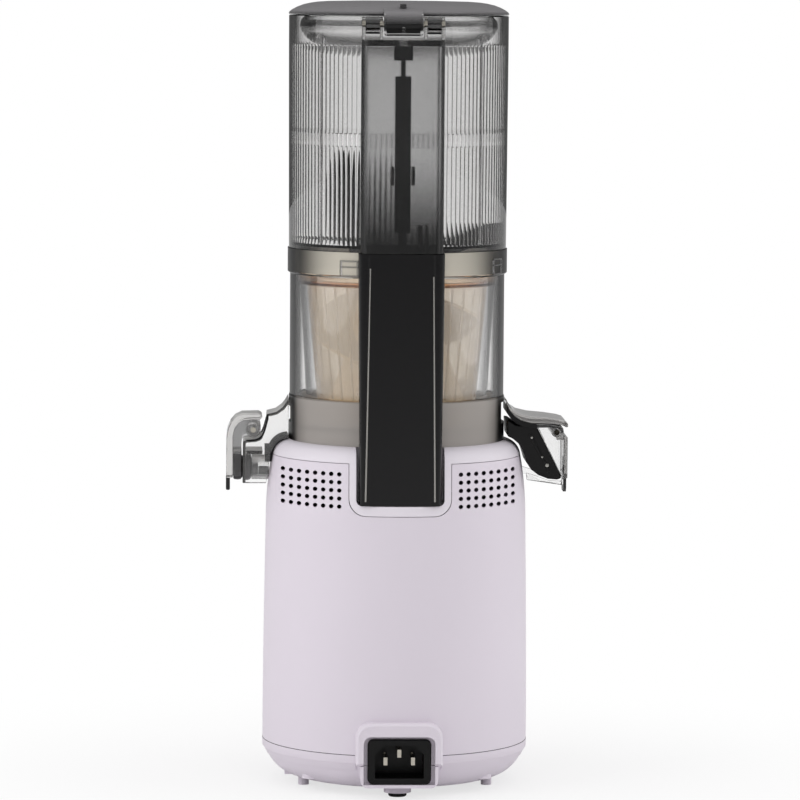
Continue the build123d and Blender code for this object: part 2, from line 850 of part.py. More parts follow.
def layshaft():
    shaft = ring(layshaft_radius, 0, gearbox_floor_z + 1.0, gearbox_top_z - 1.0, (0, -gear_distance))
    teeth = gear_teeth(pinion_teeth, second_wheel_width + pinion_extra, 0, gear_clearance)
    half_pitch = 180.0 / pinion_teeth
    pinion = Rot(0, 0, 90 + half_pitch) * teeth
    return shaft + Pos(0, -gear_distance, second_wheel_z - 1.0) * pinion


def output_gear():
    wheel = gear_teeth(wheel_teeth, second_wheel_width, drive_radius, gear_clearance)
    wheel -= Pos(0, 0, second_wheel_width - 3.0) * ring(20.0, 10.5, 0, 5)
    return Pos(0, 0, second_wheel_z) * Rot(0, 0, -90) * wheel


def drive_shaft():
    shaft = ring(drive_radius, 0, second_wheel_z - 1.5, deck_z + 6.0)
    hexagon = extrude(RegularPolygon(hex_across / 2, 6, major_radius=False), hex_top_z - deck_z - 6.0)
    hexagon = chamfer(hexagon.edges().group_by(Axis.Z)[-1], 1.0)
    return shaft + Pos(0, 0, deck_z + 6.0) * hexagon


def gearbox_outline(extra):
    first = Pos(0, 0) * Circle(wheel_tip + 2.0 + extra)
    second = Pos(0, -gear_distance) * Circle(wheel_tip + 2.0 + extra)
    return make_hull((first + second).edges())


def gearbox_housing():
    lid_z = gearbox_top_z - gearbox_wall
    shell = Pos(0, 0, gearbox_floor_z) * extrude(gearbox_outline(gearbox_wall), lid_z - gearbox_floor_z)
    shell += ring(bracket_radius, 0, gearbox_floor_z, gearbox_floor_z + gearbox_wall)
    hollow = extrude(gearbox_outline(0), 100)
    shell -= Pos(0, 0, gearbox_floor_z + gearbox_wall) * hollow
    shell &= ring(body_mid_radius - body_wall - 1.5, 0, 0, 300)
    shell -= ring(rotor_shaft_radius + 1.2, 0, 0, 300)
    shell += ring(layshaft_radius + 3.5, 0, gearbox_floor_z, gearbox_floor_z + 5.0, (0, -gear_distance))
    shell -= ring(layshaft_radius + 1.5, 0, gearbox_floor_z + 1.0, 300, (0, -gear_distance))
    for x, y in bolt_places():
        shell -= ring(bolt_radius + 0.2, 0, 0, 200, (x, y))
    return shell


def gearbox_cover():
    lid_z = gearbox_top_z - gearbox_wall
    cover = Pos(0, 0, lid_z) * extrude(gearbox_outline(gearbox_wall), gearbox_wall)
    cover &= ring(body_mid_radius - body_wall - 1.5, 0, 0, 300)
    cover += ring(tower_radius, 0, lid_z, deck_z - body_wall - 3.0)
    cover += ring(layshaft_radius + 3.5, 0, lid_z - 3.0, gearbox_top_z + 1.5, (0, -gear_distance))
    cover -= ring(layshaft_radius + 1.5, 0, 0, gearbox_top_z - 0.5, (0, -gear_distance))
    cover -= ring(drive_radius + 1.0, 0, 0, 300)
    tower_top = deck_z - body_wall - 3.0
    for foot_z in (lid_z, tower_top - drive_bearing_width):
        cover -= ring(drive_bearing_radius, 0, foot_z - 0.01, foot_z + drive_bearing_width)
    return cover


def gearbox_bushes():
    lower = ring(layshaft_radius + 1.5, layshaft_radius + hinge_fit, gearbox_floor_z + 1.0,
                 gearbox_floor_z + 5.0, (0, -gear_distance))
    upper = ring(layshaft_radius + 1.5, layshaft_radius + hinge_fit, gearbox_top_z - gearbox_wall - 3.0,
                 gearbox_top_z - 0.5, (0, -gear_distance))
    return Compound([lower, upper])


def drive_bearings():
    lid_z = gearbox_top_z - gearbox_wall
    tower_top = deck_z - body_wall - 3.0
    races = []
    for foot_z in (lid_z, tower_top - drive_bearing_width):
        race = ring(drive_bearing_radius, drive_radius + hinge_fit, foot_z, foot_z + drive_bearing_width)
        races.append(bearing_with_grooves(race))
    return Compound(races)


def shaft_seal():
    tower_top = deck_z - body_wall - 3.0
    seal = ring(drive_bearing_radius - 2.5, drive_radius + 0.1, tower_top, deck_z + 2.5)
    seal += ring(drive_bearing_radius + 1.0, drive_radius + 0.1, tower_top, deck_z - body_wall)
    return seal


# ---- Chamber: bowl, column and spouts --------------------------------------------------------


def bayonet_sector(inner, outer, foot_z, top_z, start, sweep):
    # A part of a ring between two angles, measured from +X.
    sketch = Plane.XY * make_face([
        Line(polar(inner, start), polar(outer, start)),
        ThreePointArc(polar(outer, start), polar(outer, start + sweep / 2), polar(outer, start + sweep)),
        Line(polar(outer, start + sweep), polar(inner, start + sweep)),
        ThreePointArc(polar(inner, start + sweep), polar(inner, start + sweep / 2), polar(inner, start)),
    ])
    return Pos(0, 0, foot_z) * extrude(sketch, top_z - foot_z)


def lug_starts():
    return [45 + i * 360.0 / lug_count - lug_angle / 2 for i in range(lug_count)]


def juicing_bowl():
    inner = bowl_radius - bowl_wall
    top_z = hopper_joint_z - bowl_top_gap
    floor_top = bowl_floor_z + bowl_floor_thickness
    points = [
        (bowl_band_radius, deck_z),
        (bowl_band_radius, band_top_z),
        (bowl_radius, band_top_z + 1.0),
        (bowl_radius, ring_foot_z - 1.0),
        (bowl_ring_radius, ring_foot_z),
        (bowl_ring_radius, top_z),
        (inner, top_z),
        (inner, floor_top),
        (bowl_hub_radius, floor_top),
        (bowl_hub_radius, bowl_hub_top_z),
        (bowl_hub_bore, bowl_hub_top_z),
        (bowl_hub_bore, bowl_floor_z - 1.0),
        (bowl_hub_radius + 4.5, bowl_floor_z - 1.0),
        (bowl_hub_radius + 4.5, bowl_floor_z),
        (inner - 1.0, bowl_floor_z),
        (inner - 1.0, deck_z),
    ]
    bowl = turned_polygon(points)
    groove_foot = lug_foot_z - 0.3
    groove_top = lug_foot_z + lug_height + 0.3
    for start in lug_starts():
        groove = bayonet_sector(inner - 1, lug_radius + 0.3, groove_foot, groove_top,
                                start - 1.0, lug_angle + unlock_angle + 2.0)
        entry = bayonet_sector(inner - 1, lug_radius + 0.3, groove_foot, top_z + 1,
                               start + unlock_angle - 1.0, lug_angle + 2.0)
        bowl -= groove
        bowl -= entry
    juice_window = block(bowl_radius - 10.6, bowl_radius + 14.4, -juice_half_width + juice_wall, juice_half_width - juice_wall,
                         floor_top, floor_top + 8.0)
    pulp_window = block(-bowl_radius - 14.4, 10.6 - bowl_radius, -pulp_half_width + pulp_wall, pulp_half_width - pulp_wall,
                        floor_top, floor_top + 11.0)
    return bowl - juice_window - pulp_window


def hub_packing():
    packing = ring(bowl_hub_bore, drive_radius + 0.4, bowl_floor_z - 1.0, bowl_floor_z + 4.0)
    packing += ring(bowl_hub_bore + 3.0, drive_radius + 0.4, bowl_floor_z - 2.0, bowl_floor_z - 1.0)
    return packing


def rod_column():
    top_z = hopper_joint_z - bowl_top_gap
    outer = column_solid(0, column_foot_z, top_z)
    inner = column_solid(channel_wall, column_foot_z, top_z)
    front_cut = block(-40, 40, column_front_y - 20, column_front_y, column_foot_z - 5, deck_z)
    bowl_cut = ring(bowl_ring_radius + 0.2, 0, deck_z - seat_gap, top_z + 5)
    outer = outer - front_cut - bowl_cut
    inner_front = block(-40, 40, column_front_y - 20, column_front_y + channel_wall, column_foot_z - 5, deck_z + 2.5)
    inner_bowl = ring(bowl_ring_radius + 0.2 + channel_wall, 0, deck_z - 1.9, top_z + 5)
    floor_top = column_foot_z + column_floor
    inner = inner - inner_front - inner_bowl
    inner &= block(-40, 40, column_front_y - 20, channel_rear_y + 5, floor_top, top_z + 5)
    column = outer - inner
    column -= ring(plunger_radius + 1.2, 0, column_foot_z - 1, floor_top + 1, (0, rod_y))
    for foot_z in (deck_z - 10.0, hopper_joint_z - 17.5):
        guide = block(-column_half_top + 1.5, column_half_top - 1.5, rod_y - 1.2, rod_y + 1.2, foot_z, foot_z + 4)
        guide -= block(-rod_width / 2 - 0.3, rod_width / 2 + 0.3, rod_y - 11, rod_y + 19, foot_z - 1, foot_z + 9)
        column += guide
    return column


def lower_rod():
    y_from = rod_y - rod_depth / 2
    y_to = rod_y + rod_depth / 2
    bar = block(-rod_width / 2, rod_width / 2, y_from, y_to, lower_bar_foot_z, lower_bar_top_z)
    tip = block(-rod_tip_width / 2, rod_tip_width / 2, y_from, y_to, lower_bar_top_z, rod_meeting_z - seat_gap)
    foot = ring(plunger_radius + 0.6, 0, plunger_top_z, lower_bar_foot_z, (0, rod_y))
    return bar + tip + foot


def juice_spout():
    # A clear hood from the bowl's foot over the shoulder, with the tube that the cap closes.
    start = bowl_band_radius - 4.0
    root = spout_root_x
    gap = spout_body_gap
    hood = make_face(Plane.XZ * Wire([
        ThreePointArc((start, deck_z + 23.0), (root, deck_z + 16.4), (root + 8.5, deck_z + 12.0)),
        Line((root + 8.5, deck_z + 12.0), (root + 7.7, deck_z + 9.3)),
        ThreePointArc((root + 7.7, deck_z + 9.3), (root + 6.4, deck_z + 4.6), (root + 8.6, deck_z - 0.6)),
        Line((root + 8.6, deck_z - 0.6), (root + 12.6, deck_z - 2.6)),
        Line((root + 12.6, deck_z - 2.6), (cheek_end_x, deck_z - 3.6)),
        Line((cheek_end_x, deck_z - 3.6), (cheek_end_x, juice_foot_z)),
        Line((cheek_end_x, juice_foot_z), (root + 7.2, juice_foot_z)),
        ThreePointArc((root + 7.2, juice_foot_z), (root + 6.0, deck_z - 10.0), (root, deck_z + gap)),
        Line((root, deck_z + gap), (start, deck_z + gap)),
        Line((start, deck_z + gap), (start, deck_z + 23.0)),
    ]))
    hood = extrude(hood, juice_half_width, both=True)
    hood -= body_solid(-gap)
    hood -= ring(bowl_band_radius, 0, juice_foot_z - 5, band_top_z + 5)
    tube = rod_along_x(juice_tube_outer, root + 6.0, juice_tube_end_x, 0, juice_tube_z)
    inner = make_face(Plane.XZ * Wire([
        Line((root - 10.0, deck_z + 2.4), (root - 2.0, deck_z + 2.4)),
        ThreePointArc((root - 2.0, deck_z + 2.4), (root + 3.4, deck_z - 0.2), (root + 6.8, deck_z - 7.6)),
        Line((root + 6.8, deck_z - 7.6), (root + 7.6, deck_z - 19.6)),
        Line((root + 7.6, deck_z - 19.6), (root + 12.0, deck_z - 19.6)),
        Line((root + 12.0, deck_z - 19.6), (root + 12.0, deck_z - 4.0)),
        Line((root + 12.0, deck_z - 4.0), (root + 8.0, deck_z - 1.8)),
        ThreePointArc((root + 8.0, deck_z - 1.8), (root + 5.6, deck_z + 1.0), (root + 5.0, deck_z + 4.6)),
        ThreePointArc((root + 5.0, deck_z + 4.6), (root, deck_z + 11.6), (root - 10.0, deck_z + 17.6)),
        Line((root - 10.0, deck_z + 17.6), (root - 10.0, deck_z + 2.4)),
    ]))
    inner = extrude(inner, juice_half_width - juice_wall, both=True)
    hood -= inner
    hood -= block(root + 12.0, cheek_end_x + 1, -juice_half_width + juice_wall, juice_half_width - juice_wall,
                  juice_foot_z - 5, deck_z - 3.5 - juice_wall)
    hood += tube & block(root + 10.4, cheek_end_x + 5, -30, 30, juice_foot_z - 5, deck_z)
    hood -= rod_along_x(juice_tube_inner, root, juice_tube_end_x + 1, 0, juice_tube_z)
    ear_width = juice_half_width - cap_half_width - 0.4
    ears = []
    for side in (-1, 1):
        y_from = min(side * (cap_half_width + 0.4), side * juice_half_width)
        ear = block(root + 8.6, cap_pivot_x, y_from, y_from + ear_width, deck_z - 2.0, deck_z + 10.4)
        ear += rod_along_y(cap_hub_radius + 0.3, y_from, y_from + ear_width, cap_pivot_x, cap_pivot_z)
        ears.append(ear)
    hood = joined([hood] + ears) - spout_packing()
    hood -= rod_along_y(cap_pin_radius, -30, 30, cap_pivot_x, cap_pivot_z)
    return hood


def spout_packing():
    # Black silicone strip along the shoulder under the juice hood, with two bungs at its foot.
    root = spout_root_x
    strip = body_solid(-packing_gap - packing_thickness) - body_solid(-packing_gap)
    reach = block(packing_inner_x, root + 30, -packing_half_width, packing_half_width, deck_z - 11.8, deck_z + 6)
    strip &= reach
    bungs = [strip]
    for z in (deck_z - 11.8, deck_z - 7.6):
        bung = block(root, root + 8.4, -packing_half_width, packing_half_width, z, z + 3.7)
        bungs.append(bung - body_solid(-packing_gap))
    return joined(bungs)


def cap_lever():
    arm = make_face(Plane.XZ * Wire([
        Line((cap_pivot_x, cap_pivot_z - cap_hub_radius), (cap_plate_inner_x, cap_pivot_z - cap_hub_radius)),
        Line((cap_plate_inner_x, cap_pivot_z - cap_hub_radius), (cap_plate_inner_x, cap_plate_foot_z)),
        Line((cap_plate_inner_x, cap_plate_foot_z), (cap_outer_x - 1.8, cap_plate_foot_z)),
        Line((cap_outer_x - 1.8, cap_plate_foot_z), (cap_outer_x - 1.8, cap_tab_foot_z)),
        Line((cap_outer_x - 1.8, cap_tab_foot_z), (cap_outer_x, cap_tab_foot_z)),
        Line((cap_outer_x, cap_tab_foot_z), (cap_outer_x, cap_arm_top_z - 8.0)),
        ThreePointArc(
            (cap_outer_x, cap_arm_top_z - 8.0),
            (cap_outer_x - 2.6, cap_arm_top_z - 2.6),
            (cap_outer_x - 8.0, cap_arm_top_z),
        ),
        Line((cap_outer_x - 8.0, cap_arm_top_z), (cap_pivot_x, cap_arm_top_z)),
        ThreePointArc(
            (cap_pivot_x, cap_arm_top_z),
            (cap_pivot_x - 5.9, cap_pivot_z + 1.0),
            (cap_pivot_x, cap_pivot_z - cap_hub_radius),
        ),
    ]))
    lever = extrude(arm, cap_half_width, both=True)
    lever -= rod_along_y(cap_pin_radius + hinge_fit, -30, 30, cap_pivot_x, cap_pivot_z)
    lever -= rod_along_x(plug_stud_radius, cap_pivot_x, cap_plate_inner_x + 2.0, 0, juice_tube_z)
    return lever


def cap_plug():
    gap = cap_plate_inner_x
    disc = rod_along_x(plug_radius, juice_tube_end_x + seat_gap, gap, 0, juice_tube_z)
    disc = chamfer(disc.edges().sort_by(Axis.X)[0], 0.8)
    root_x = juice_tube_end_x + seat_gap
    nose = Cone(plug_nose_radius, plug_nose_radius - 1.0, plug_nose_length, rotation=(0, -90, 0))
    nose = Pos(root_x - plug_nose_length / 2, 0, juice_tube_z) * nose
    stud = rod_along_x(plug_stud_radius, gap, gap + 2.0, 0, juice_tube_z)
    return disc + nose + stud


def cap_pin():
    return rod_along_y(cap_pin_radius, -juice_half_width, juice_half_width, cap_pivot_x, cap_pivot_z)


def pulp_spout():
    # A clear hood whose foot stands open; the door closes its outer side.
    start = -(bowl_band_radius - 4.0)
    root = spout_root_x
    gap = spout_body_gap
    end = -pulp_roof_end_x
    shell = make_face(Plane.XZ * Wire([
        ThreePointArc((start, deck_z + 23.0), (-root - 0.5, deck_z + 15.0), (-root - 8.0, deck_z + 11.6)),
        ThreePointArc((-root - 8.0, deck_z + 11.6), (-root - 17.0, deck_z + 10.4), (-root - 25.4, deck_z + 8.4)),
        ThreePointArc((-root - 25.4, deck_z + 8.4), (-root - 27.4, deck_z + 7.4), (-root - 28.0, deck_z + 5.4)),
        Line((-root - 28.0, deck_z + 5.4), (-root - 28.0, deck_z + 2.6)),
        Line((-root - 28.0, deck_z + 2.6), (end, deck_z + 2.6)),
        Line((end, deck_z + 2.6), (end, pulp_foot_z)),
        Line((end, pulp_foot_z), (-root - 7.6, pulp_foot_z + 2.0)),
        ThreePointArc((-root - 7.6, pulp_foot_z + 2.0), (-root - 6.0, deck_z - 10.0), (-root, deck_z + gap)),
        Line((-root, deck_z + gap), (start, deck_z + gap)),
        Line((start, deck_z + gap), (start, deck_z + 23.0)),
    ]))
    shell = extrude(shell, pulp_half_width, both=True)
    shell -= body_solid(-gap)
    shell -= ring(bowl_band_radius, 0, pulp_foot_z - 5, band_top_z + 5)
    hollow = make_face(Plane.XZ * Wire([
        ThreePointArc((10.0 - root, deck_z + 21.0), (-root - 0.5, deck_z + 12.4), (-root - 8.5, deck_z + 8.9)),
        Line((-root - 8.5, deck_z + 8.9), (-root - 19.0, deck_z + 7.6)),
        Line((-root - 19.0, deck_z + 7.6), (-root - 29.0, deck_z + 7.6)),
        Line((-root - 29.0, deck_z + 7.6), (-root - 29.0, deck_z - 30.0)),
        Line((-root - 29.0, deck_z - 30.0), (10.0 - root, deck_z - 30.0)),
        Line((10.0 - root, deck_z - 30.0), (10.0 - root, deck_z + 21.0)),
    ]))
    hollow = extrude(hollow, pulp_half_width - pulp_wall, both=True)
    shell -= hollow
    shell -= rod_along_y(cap_pin_radius, -30, 30, -door_pivot_x, door_pivot_z)
    return shell


def pulp_flap():
    # Thick black silicone wedge: it hangs from the roof and its tip rests by the door's foot.
    gap = spout_body_gap
    root = spout_root_x
    wedge = make_face(Plane.XZ * Wire([
        Line((-root - 9.6, deck_z + 7.6), (-flap_tip_x, flap_tip_z + 1.2)),
        ThreePointArc((-flap_tip_x, flap_tip_z + 1.2), (-root - 22.0, deck_z - 20.4), (-root - 16.6, deck_z - 20.2)),
        ThreePointArc((-root - 16.6, deck_z - 20.2), (-root - 10.0, deck_z - 17.4), (-root - 6.0, deck_z - 11.0)),
        Line((-root - 6.0, deck_z - 11.0), (2.0 - root, deck_z + 2.8)),
        Line((2.0 - root, deck_z + 2.8), (2.0 - root, deck_z + 7.6)),
        Line((2.0 - root, deck_z + 7.6), (-root - 9.6, deck_z + 7.6)),
    ]))
    flap = extrude(wedge, pulp_half_width - pulp_wall - 0.2, both=True)
    flap -= body_solid(-gap)
    flap -= ring(bowl_band_radius + 0.1, 0, pulp_foot_z - 5, band_top_z + 5)
    return flap


def pulp_door():
    # The plate swings on its knuckle; its foot carries the finger tab.
    inner_x = -door_inner_x
    plate = block(-door_outer_x, inner_x, -door_half_width, door_half_width, door_plate_foot_z, door_plate_top_z)
    knuckle = rod_along_y(door_knuckle_radius, -door_half_width, door_half_width, -door_pivot_x, door_pivot_z)
    web = block(inner_x, -door_pivot_x, -door_half_width, door_half_width,
                door_plate_top_z - 1.6, door_plate_top_z)
    door = plate + knuckle + web
    door -= rod_along_y(cap_pin_radius + hinge_fit, -30, 30, -door_pivot_x, door_pivot_z)
    return door


def door_tab():
    tab = block(-door_outer_x, 1.5 - door_outer_x, -7.0, 7.0, door_tab_foot_z, door_plate_foot_z)
    return chamfer(tab.edges().filter_by(Axis.X).sort_by(Axis.Z)[:2], 2.0)


def door_pin():
    return rod_along_y(cap_pin_radius, -pulp_half_width, pulp_half_width, -door_pivot_x, door_pivot_z)


# ---- Chamber: strainer and auger -------------------------------------------------------------


def strainer_radius(z):
    share = (z - strainer_cup_top_z) / (strainer_top_z - strainer_cup_top_z)
    return strainer_foot_radius + (strainer_top_radius - strainer_foot_radius) * share


def strainer():
    cup = strainer_foot_radius
    inner_foot = strainer_radius(strainer_foot_z)
    points = [
        (cup + 1.0, strainer_foot_z),
        (cup + 6.0, strainer_foot_z),
        (cup + 6.0, strainer_foot_z + 2.0),
        (cup + strainer_wall + 1.0, strainer_foot_z + 3.0),
        (strainer_foot_radius + strainer_wall, strainer_cup_top_z),
        (strainer_top_radius + strainer_wall, strainer_top_z),
        (strainer_top_radius, strainer_top_z),
        (strainer_foot_radius, strainer_cup_top_z),
        (inner_foot, strainer_foot_z),
    ]
    mesh = turned_polygon(points)
    slot_foot = strainer_cup_top_z + 4
    slot_top = strainer_top_z - 5
    middle = (slot_foot + slot_top) / 2
    for place in around(strainer_slots, (strainer_foot_radius + strainer_top_radius) / 2, 6.0):
        mesh -= place * Pos(0, 0, middle) * Box(16, strainer_slot_width, slot_top - slot_foot)
    mesh -= block(-strainer_top_radius - 24.4, 10 - strainer_foot_radius, -pulp_half_width + pulp_wall, pulp_half_width - pulp_wall,
                  strainer_foot_z - 1, strainer_foot_z + 10.5)
    return mesh


def strainer_rim():
    points = [
        (strainer_top_radius, strainer_top_z),
        (strainer_rim_radius - 2.0, strainer_top_z),
        (strainer_rim_radius, strainer_top_z + 1.5),
        (strainer_rim_radius, strainer_top_z + strainer_rim_height),
        (strainer_rim_radius - 1.6, strainer_top_z + strainer_rim_height),
        (strainer_rim_radius - 1.6, strainer_top_z + 2.2),
        (strainer_top_radius, strainer_top_z + 2.2),
    ]
    return turned_polygon(points)


def auger_envelope():
    foot_z = strainer_foot_z + 0.3
    points = [
        (0, foot_z),
        (strainer_radius(foot_z) - auger_gap, foot_z),
        (strainer_radius(auger_flight_top_z) - auger_gap, auger_flight_top_z),
        (auger_root_top_radius, auger_top_z - 2),
        (0, auger_top_z - 2),
    ]
    return turned_polygon(points)


def auger():
    foot_z = strainer_foot_z + 0.3
    height = auger_top_z - foot_z
    reach = strainer_top_radius + 2
    section = Circle(auger_root_top_radius - 2)
    for i in range(auger_flights):
        section += Rot(0, 0, 360 / auger_flights * i) * Pos(reach / 2, 0) * Rectangle(reach, auger_flight_width)
    twisted = Solid.extrude_linear_with_rotation(
        section.face(), (0, 0, 0), (0, 0, height), auger_twist
    )
    flights = (Pos(0, 0, foot_z) * twisted) & auger_envelope()
    root = turned([
        Line((0, foot_z), (strainer_radius(foot_z) - auger_gap, foot_z)),
        Line((strainer_radius(foot_z) - auger_gap, foot_z), (strainer_radius(foot_z) - auger_gap, foot_z + 4)),
        ThreePointArc(
            (strainer_radius(foot_z) - auger_gap, foot_z + 4),
            ((auger_root_foot_radius + auger_root_top_radius) / 2, foot_z + height * 0.45),
            (auger_root_top_radius, auger_flight_top_z),
        ),
        Line((auger_root_top_radius, auger_flight_top_z), (auger_root_top_radius, auger_top_z)),
        Line((auger_root_top_radius, auger_top_z), (0, auger_top_z)),
        Line((0, auger_top_z), (0, foot_z)),
    ])
    screw = root + flights
    screw -= ring(bowl_hub_radius + auger_hub_gap, 0, foot_z - 1, bowl_hub_top_z + 0.6)
    socket = extrude(RegularPolygon(hex_across / 2 + hex_clearance, 6, major_radius=False), 30)
    screw -= Pos(0, 0, deck_z) * socket
    return screw


def feeding_wing():
    foot_z = auger_top_z
    hub = ring(wing_hub_radius, 0, foot_z, foot_z + 5.0)
    hub = fillet(hub.edges().group_by(Axis.Z)[-1], 2.0)
    low = make_face(Plane.XZ * Wire([
        Line((-6, foot_z + 1), (-wing_low_reach, foot_z + 12.0)),
        ThreePointArc((-wing_low_reach, foot_z + 12.0), (-wing_low_reach + 1.5, wing_low_top_z - 3),
                      (-wing_low_reach + 6, wing_low_top_z - 1)),
        ThreePointArc((-wing_low_reach + 6, wing_low_top_z - 1), (-26, wing_low_top_z), (-6, foot_z + 5)),
        Line((-6, foot_z + 5), (-6, foot_z + 1)),
    ]))
    tall = make_face(Plane.XZ * Wire([
        Line((4, foot_z + 1), (26.0, foot_z + 14.0)),
        ThreePointArc((26.0, foot_z + 14.0), (29.0, foot_z + 38.0), (25.5, wing_tall_top_z - 4)),
        ThreePointArc((25.5, wing_tall_top_z - 4), (23.0, wing_tall_top_z), (20.0, wing_tall_top_z - 5)),
        ThreePointArc((20.0, wing_tall_top_z - 5), (15.0, foot_z + 20.0), (4, foot_z + 5)),
        Line((4, foot_z + 5), (4, foot_z + 1)),
    ]))
    low = extrude(low, wing_thickness / 2, both=True)
    tall = extrude(tall, wing_thickness / 2, both=True)
    return hub + Rot(0, 0, 12) * low + Rot(0, 0, -8) * tall


# ---- Hopper, lid and rods --------------------------------------------------------------------


def hopper():
    inner_top = hopper_top_radius - hopper_wall
    inner_foot = hopper_foot_radius - hopper_wall
    spigot_inner = spigot_radius - spigot_wall
    points = [
        (hopper_foot_radius, hopper_joint_z),
        (hopper_foot_radius, flute_foot_z),
        (hopper_top_radius, flute_top_z),
        (hopper_top_radius, hopper_top_z),
        (inner_top, hopper_top_z),
        (inner_foot, hopper_joint_z + 3.0),
        (spigot_inner, hopper_joint_z + 1.5),
        (spigot_inner, spigot_foot_z),
        (spigot_radius, spigot_foot_z),
        (spigot_radius, hopper_joint_z),
    ]
    tub = turned_polygon(points)
    for start in lug_starts():
        lug = bayonet_sector(spigot_radius - 1, lug_radius, lug_foot_z, lug_foot_z + lug_height,
                             start, lug_angle)
        tub += lug
    notch = block(-hinge_lid_half - 0.6, hinge_lid_half + 0.6, hinge_y - 9.5, hinge_y + 10,
                  hinge_z - lug_foot_drop - 1.6, hopper_top_z + 5)
    tub -= notch
    return tub


def rod_channel():
    # Cover over the upper rod, with the hinge ears and the rod's guide at its head.
    section = pin_section(channel_half_top, channel_rear_y - 20.6, channel_rear_y, channel_corner)
    inner = pin_section(channel_half_top - channel_wall, channel_rear_y - 20.6, channel_rear_y - channel_wall,
                        channel_corner - channel_wall)
    foot_z = hopper_joint_z
    cover = Pos(0, 0, foot_z) * extrude(section, channel_top_z - foot_z)
    cover -= Pos(0, 0, foot_z - 1) * extrude(inner, channel_top_z - foot_z - 2.0)
    guide = block(-guide_width / 2, guide_width / 2, rod_y - 3.5, channel_rear_y - 1, guide_foot_z,
                  channel_top_z - 1)
    cover += guide
    for side in (-1, 1):
        low = min(side * hinge_ear_inner, side * hinge_ear_outer)
        high = max(side * hinge_ear_inner, side * hinge_ear_outer)
        cover += rod_along_x(hinge_barrel_radius, low, high, hinge_y, hinge_z)
        cover += block(low, high, hinge_y - 11, hinge_y + hinge_barrel_radius, channel_top_z - 4, hinge_z)
    cover -= ring(hopper_top_radius + 0.05, 0, 0, hopper_top_z + 50)
    half = upper_stem_width / 2 + 0.3
    cover -= block(-half, half, rod_y - half, rod_y + half, guide_foot_z - 2, channel_top_z + 3)
    cover -= rod_along_x(hinge_pin_radius, -40, 40, hinge_y, hinge_z)
    for z in (hopper_joint_z + 20.5, hopper_joint_z + 70.5):
        for side in (-1, 1):
            low = min(side * (rod_width / 2 + 0.3), side * (rod_width / 2 + 2.0))
            cover += block(low, low + 1.7, rod_y - 1.8, channel_rear_y - 1.0, z, z + 8)
    return cover


def upper_rod():
    y_from = rod_y - rod_depth / 2
    y_to = rod_y + rod_depth / 2
    bar = block(-rod_width / 2, rod_width / 2, y_from, y_to, upper_bar_foot_z, upper_bar_top_z)
    half = upper_stem_width / 2
    stem = block(-half, half, rod_y - half, rod_y + half, upper_bar_top_z, upper_stem_top_z)
    tip = block(-rod_tip_width / 2, rod_tip_width / 2, y_from, y_to, rod_meeting_z, upper_bar_foot_z)
    return bar + stem + tip


def lid():
    outline = [
        Line((0, lid_top_z), (lid_flat_radius, lid_top_z)),
        ThreePointArc((lid_flat_radius, lid_top_z), (lid_flat_radius + 6.0, lid_top_z - 1.4), (lid_radius, lid_seat_z + 3.0)),
        Line((lid_radius, lid_seat_z + 3.0), (lid_radius, lid_seat_z)),
        Line((lid_radius, lid_seat_z), (lid_radius - lid_wall, lid_seat_z)),
        Line((lid_radius - lid_wall, lid_seat_z), (lid_radius - lid_wall, lid_seat_z + 2.0)),
        ThreePointArc((lid_radius - lid_wall, lid_seat_z + 2.0), (lid_flat_radius + 4.4, lid_top_z - 3.6),
                      (lid_flat_radius, lid_top_z - lid_wall)),
        Line((lid_flat_radius, lid_top_z - lid_wall), (0, lid_top_z - lid_wall)),
        Line((0, lid_top_z - lid_wall), (0, lid_top_z)),
    ]
    cover = turned(outline)
    half = hinge_lid_half
    cover += rod_along_x(hinge_barrel_radius, -half, half, hinge_y, hinge_z)
    root_y = lid_radius - 2.2
    arm = make_face(Plane.YZ * Wire([
        Line((root_y, lid_seat_z + 0.1), (root_y, lid_seat_z + 3.4)),
        ThreePointArc(
            (root_y, lid_seat_z + 3.4),
            (hinge_y + 0.6, hinge_z + 6.6),
            (hinge_y + hinge_barrel_radius, hinge_z),
        ),
        Line((hinge_y + hinge_barrel_radius, hinge_z), (hinge_y, hinge_z)),
        Line((hinge_y, hinge_z), (root_y, lid_seat_z + 0.1)),
    ]))
    cover += extrude(arm, half, both=True)
    lug_foot = hinge_z - lug_foot_drop
    lug = block(-half, half, hinge_y + 1.0, hinge_y + hinge_barrel_radius, lug_foot, hinge_z)
    lug = fillet(lug.edges().filter_by(Axis.Y).sort_by(Axis.Z)[:2], 4.0)
    lug -= block(-lug_slot_half, lug_slot_half, hinge_y - 11, hinge_y + 19, lug_foot - 1, hinge_z - 2.0)
    cover += lug
    cover -= rod_along_x(hinge_pin_radius + hinge_fit, -half - 5, half + 5, hinge_y, hinge_z)
    return cover


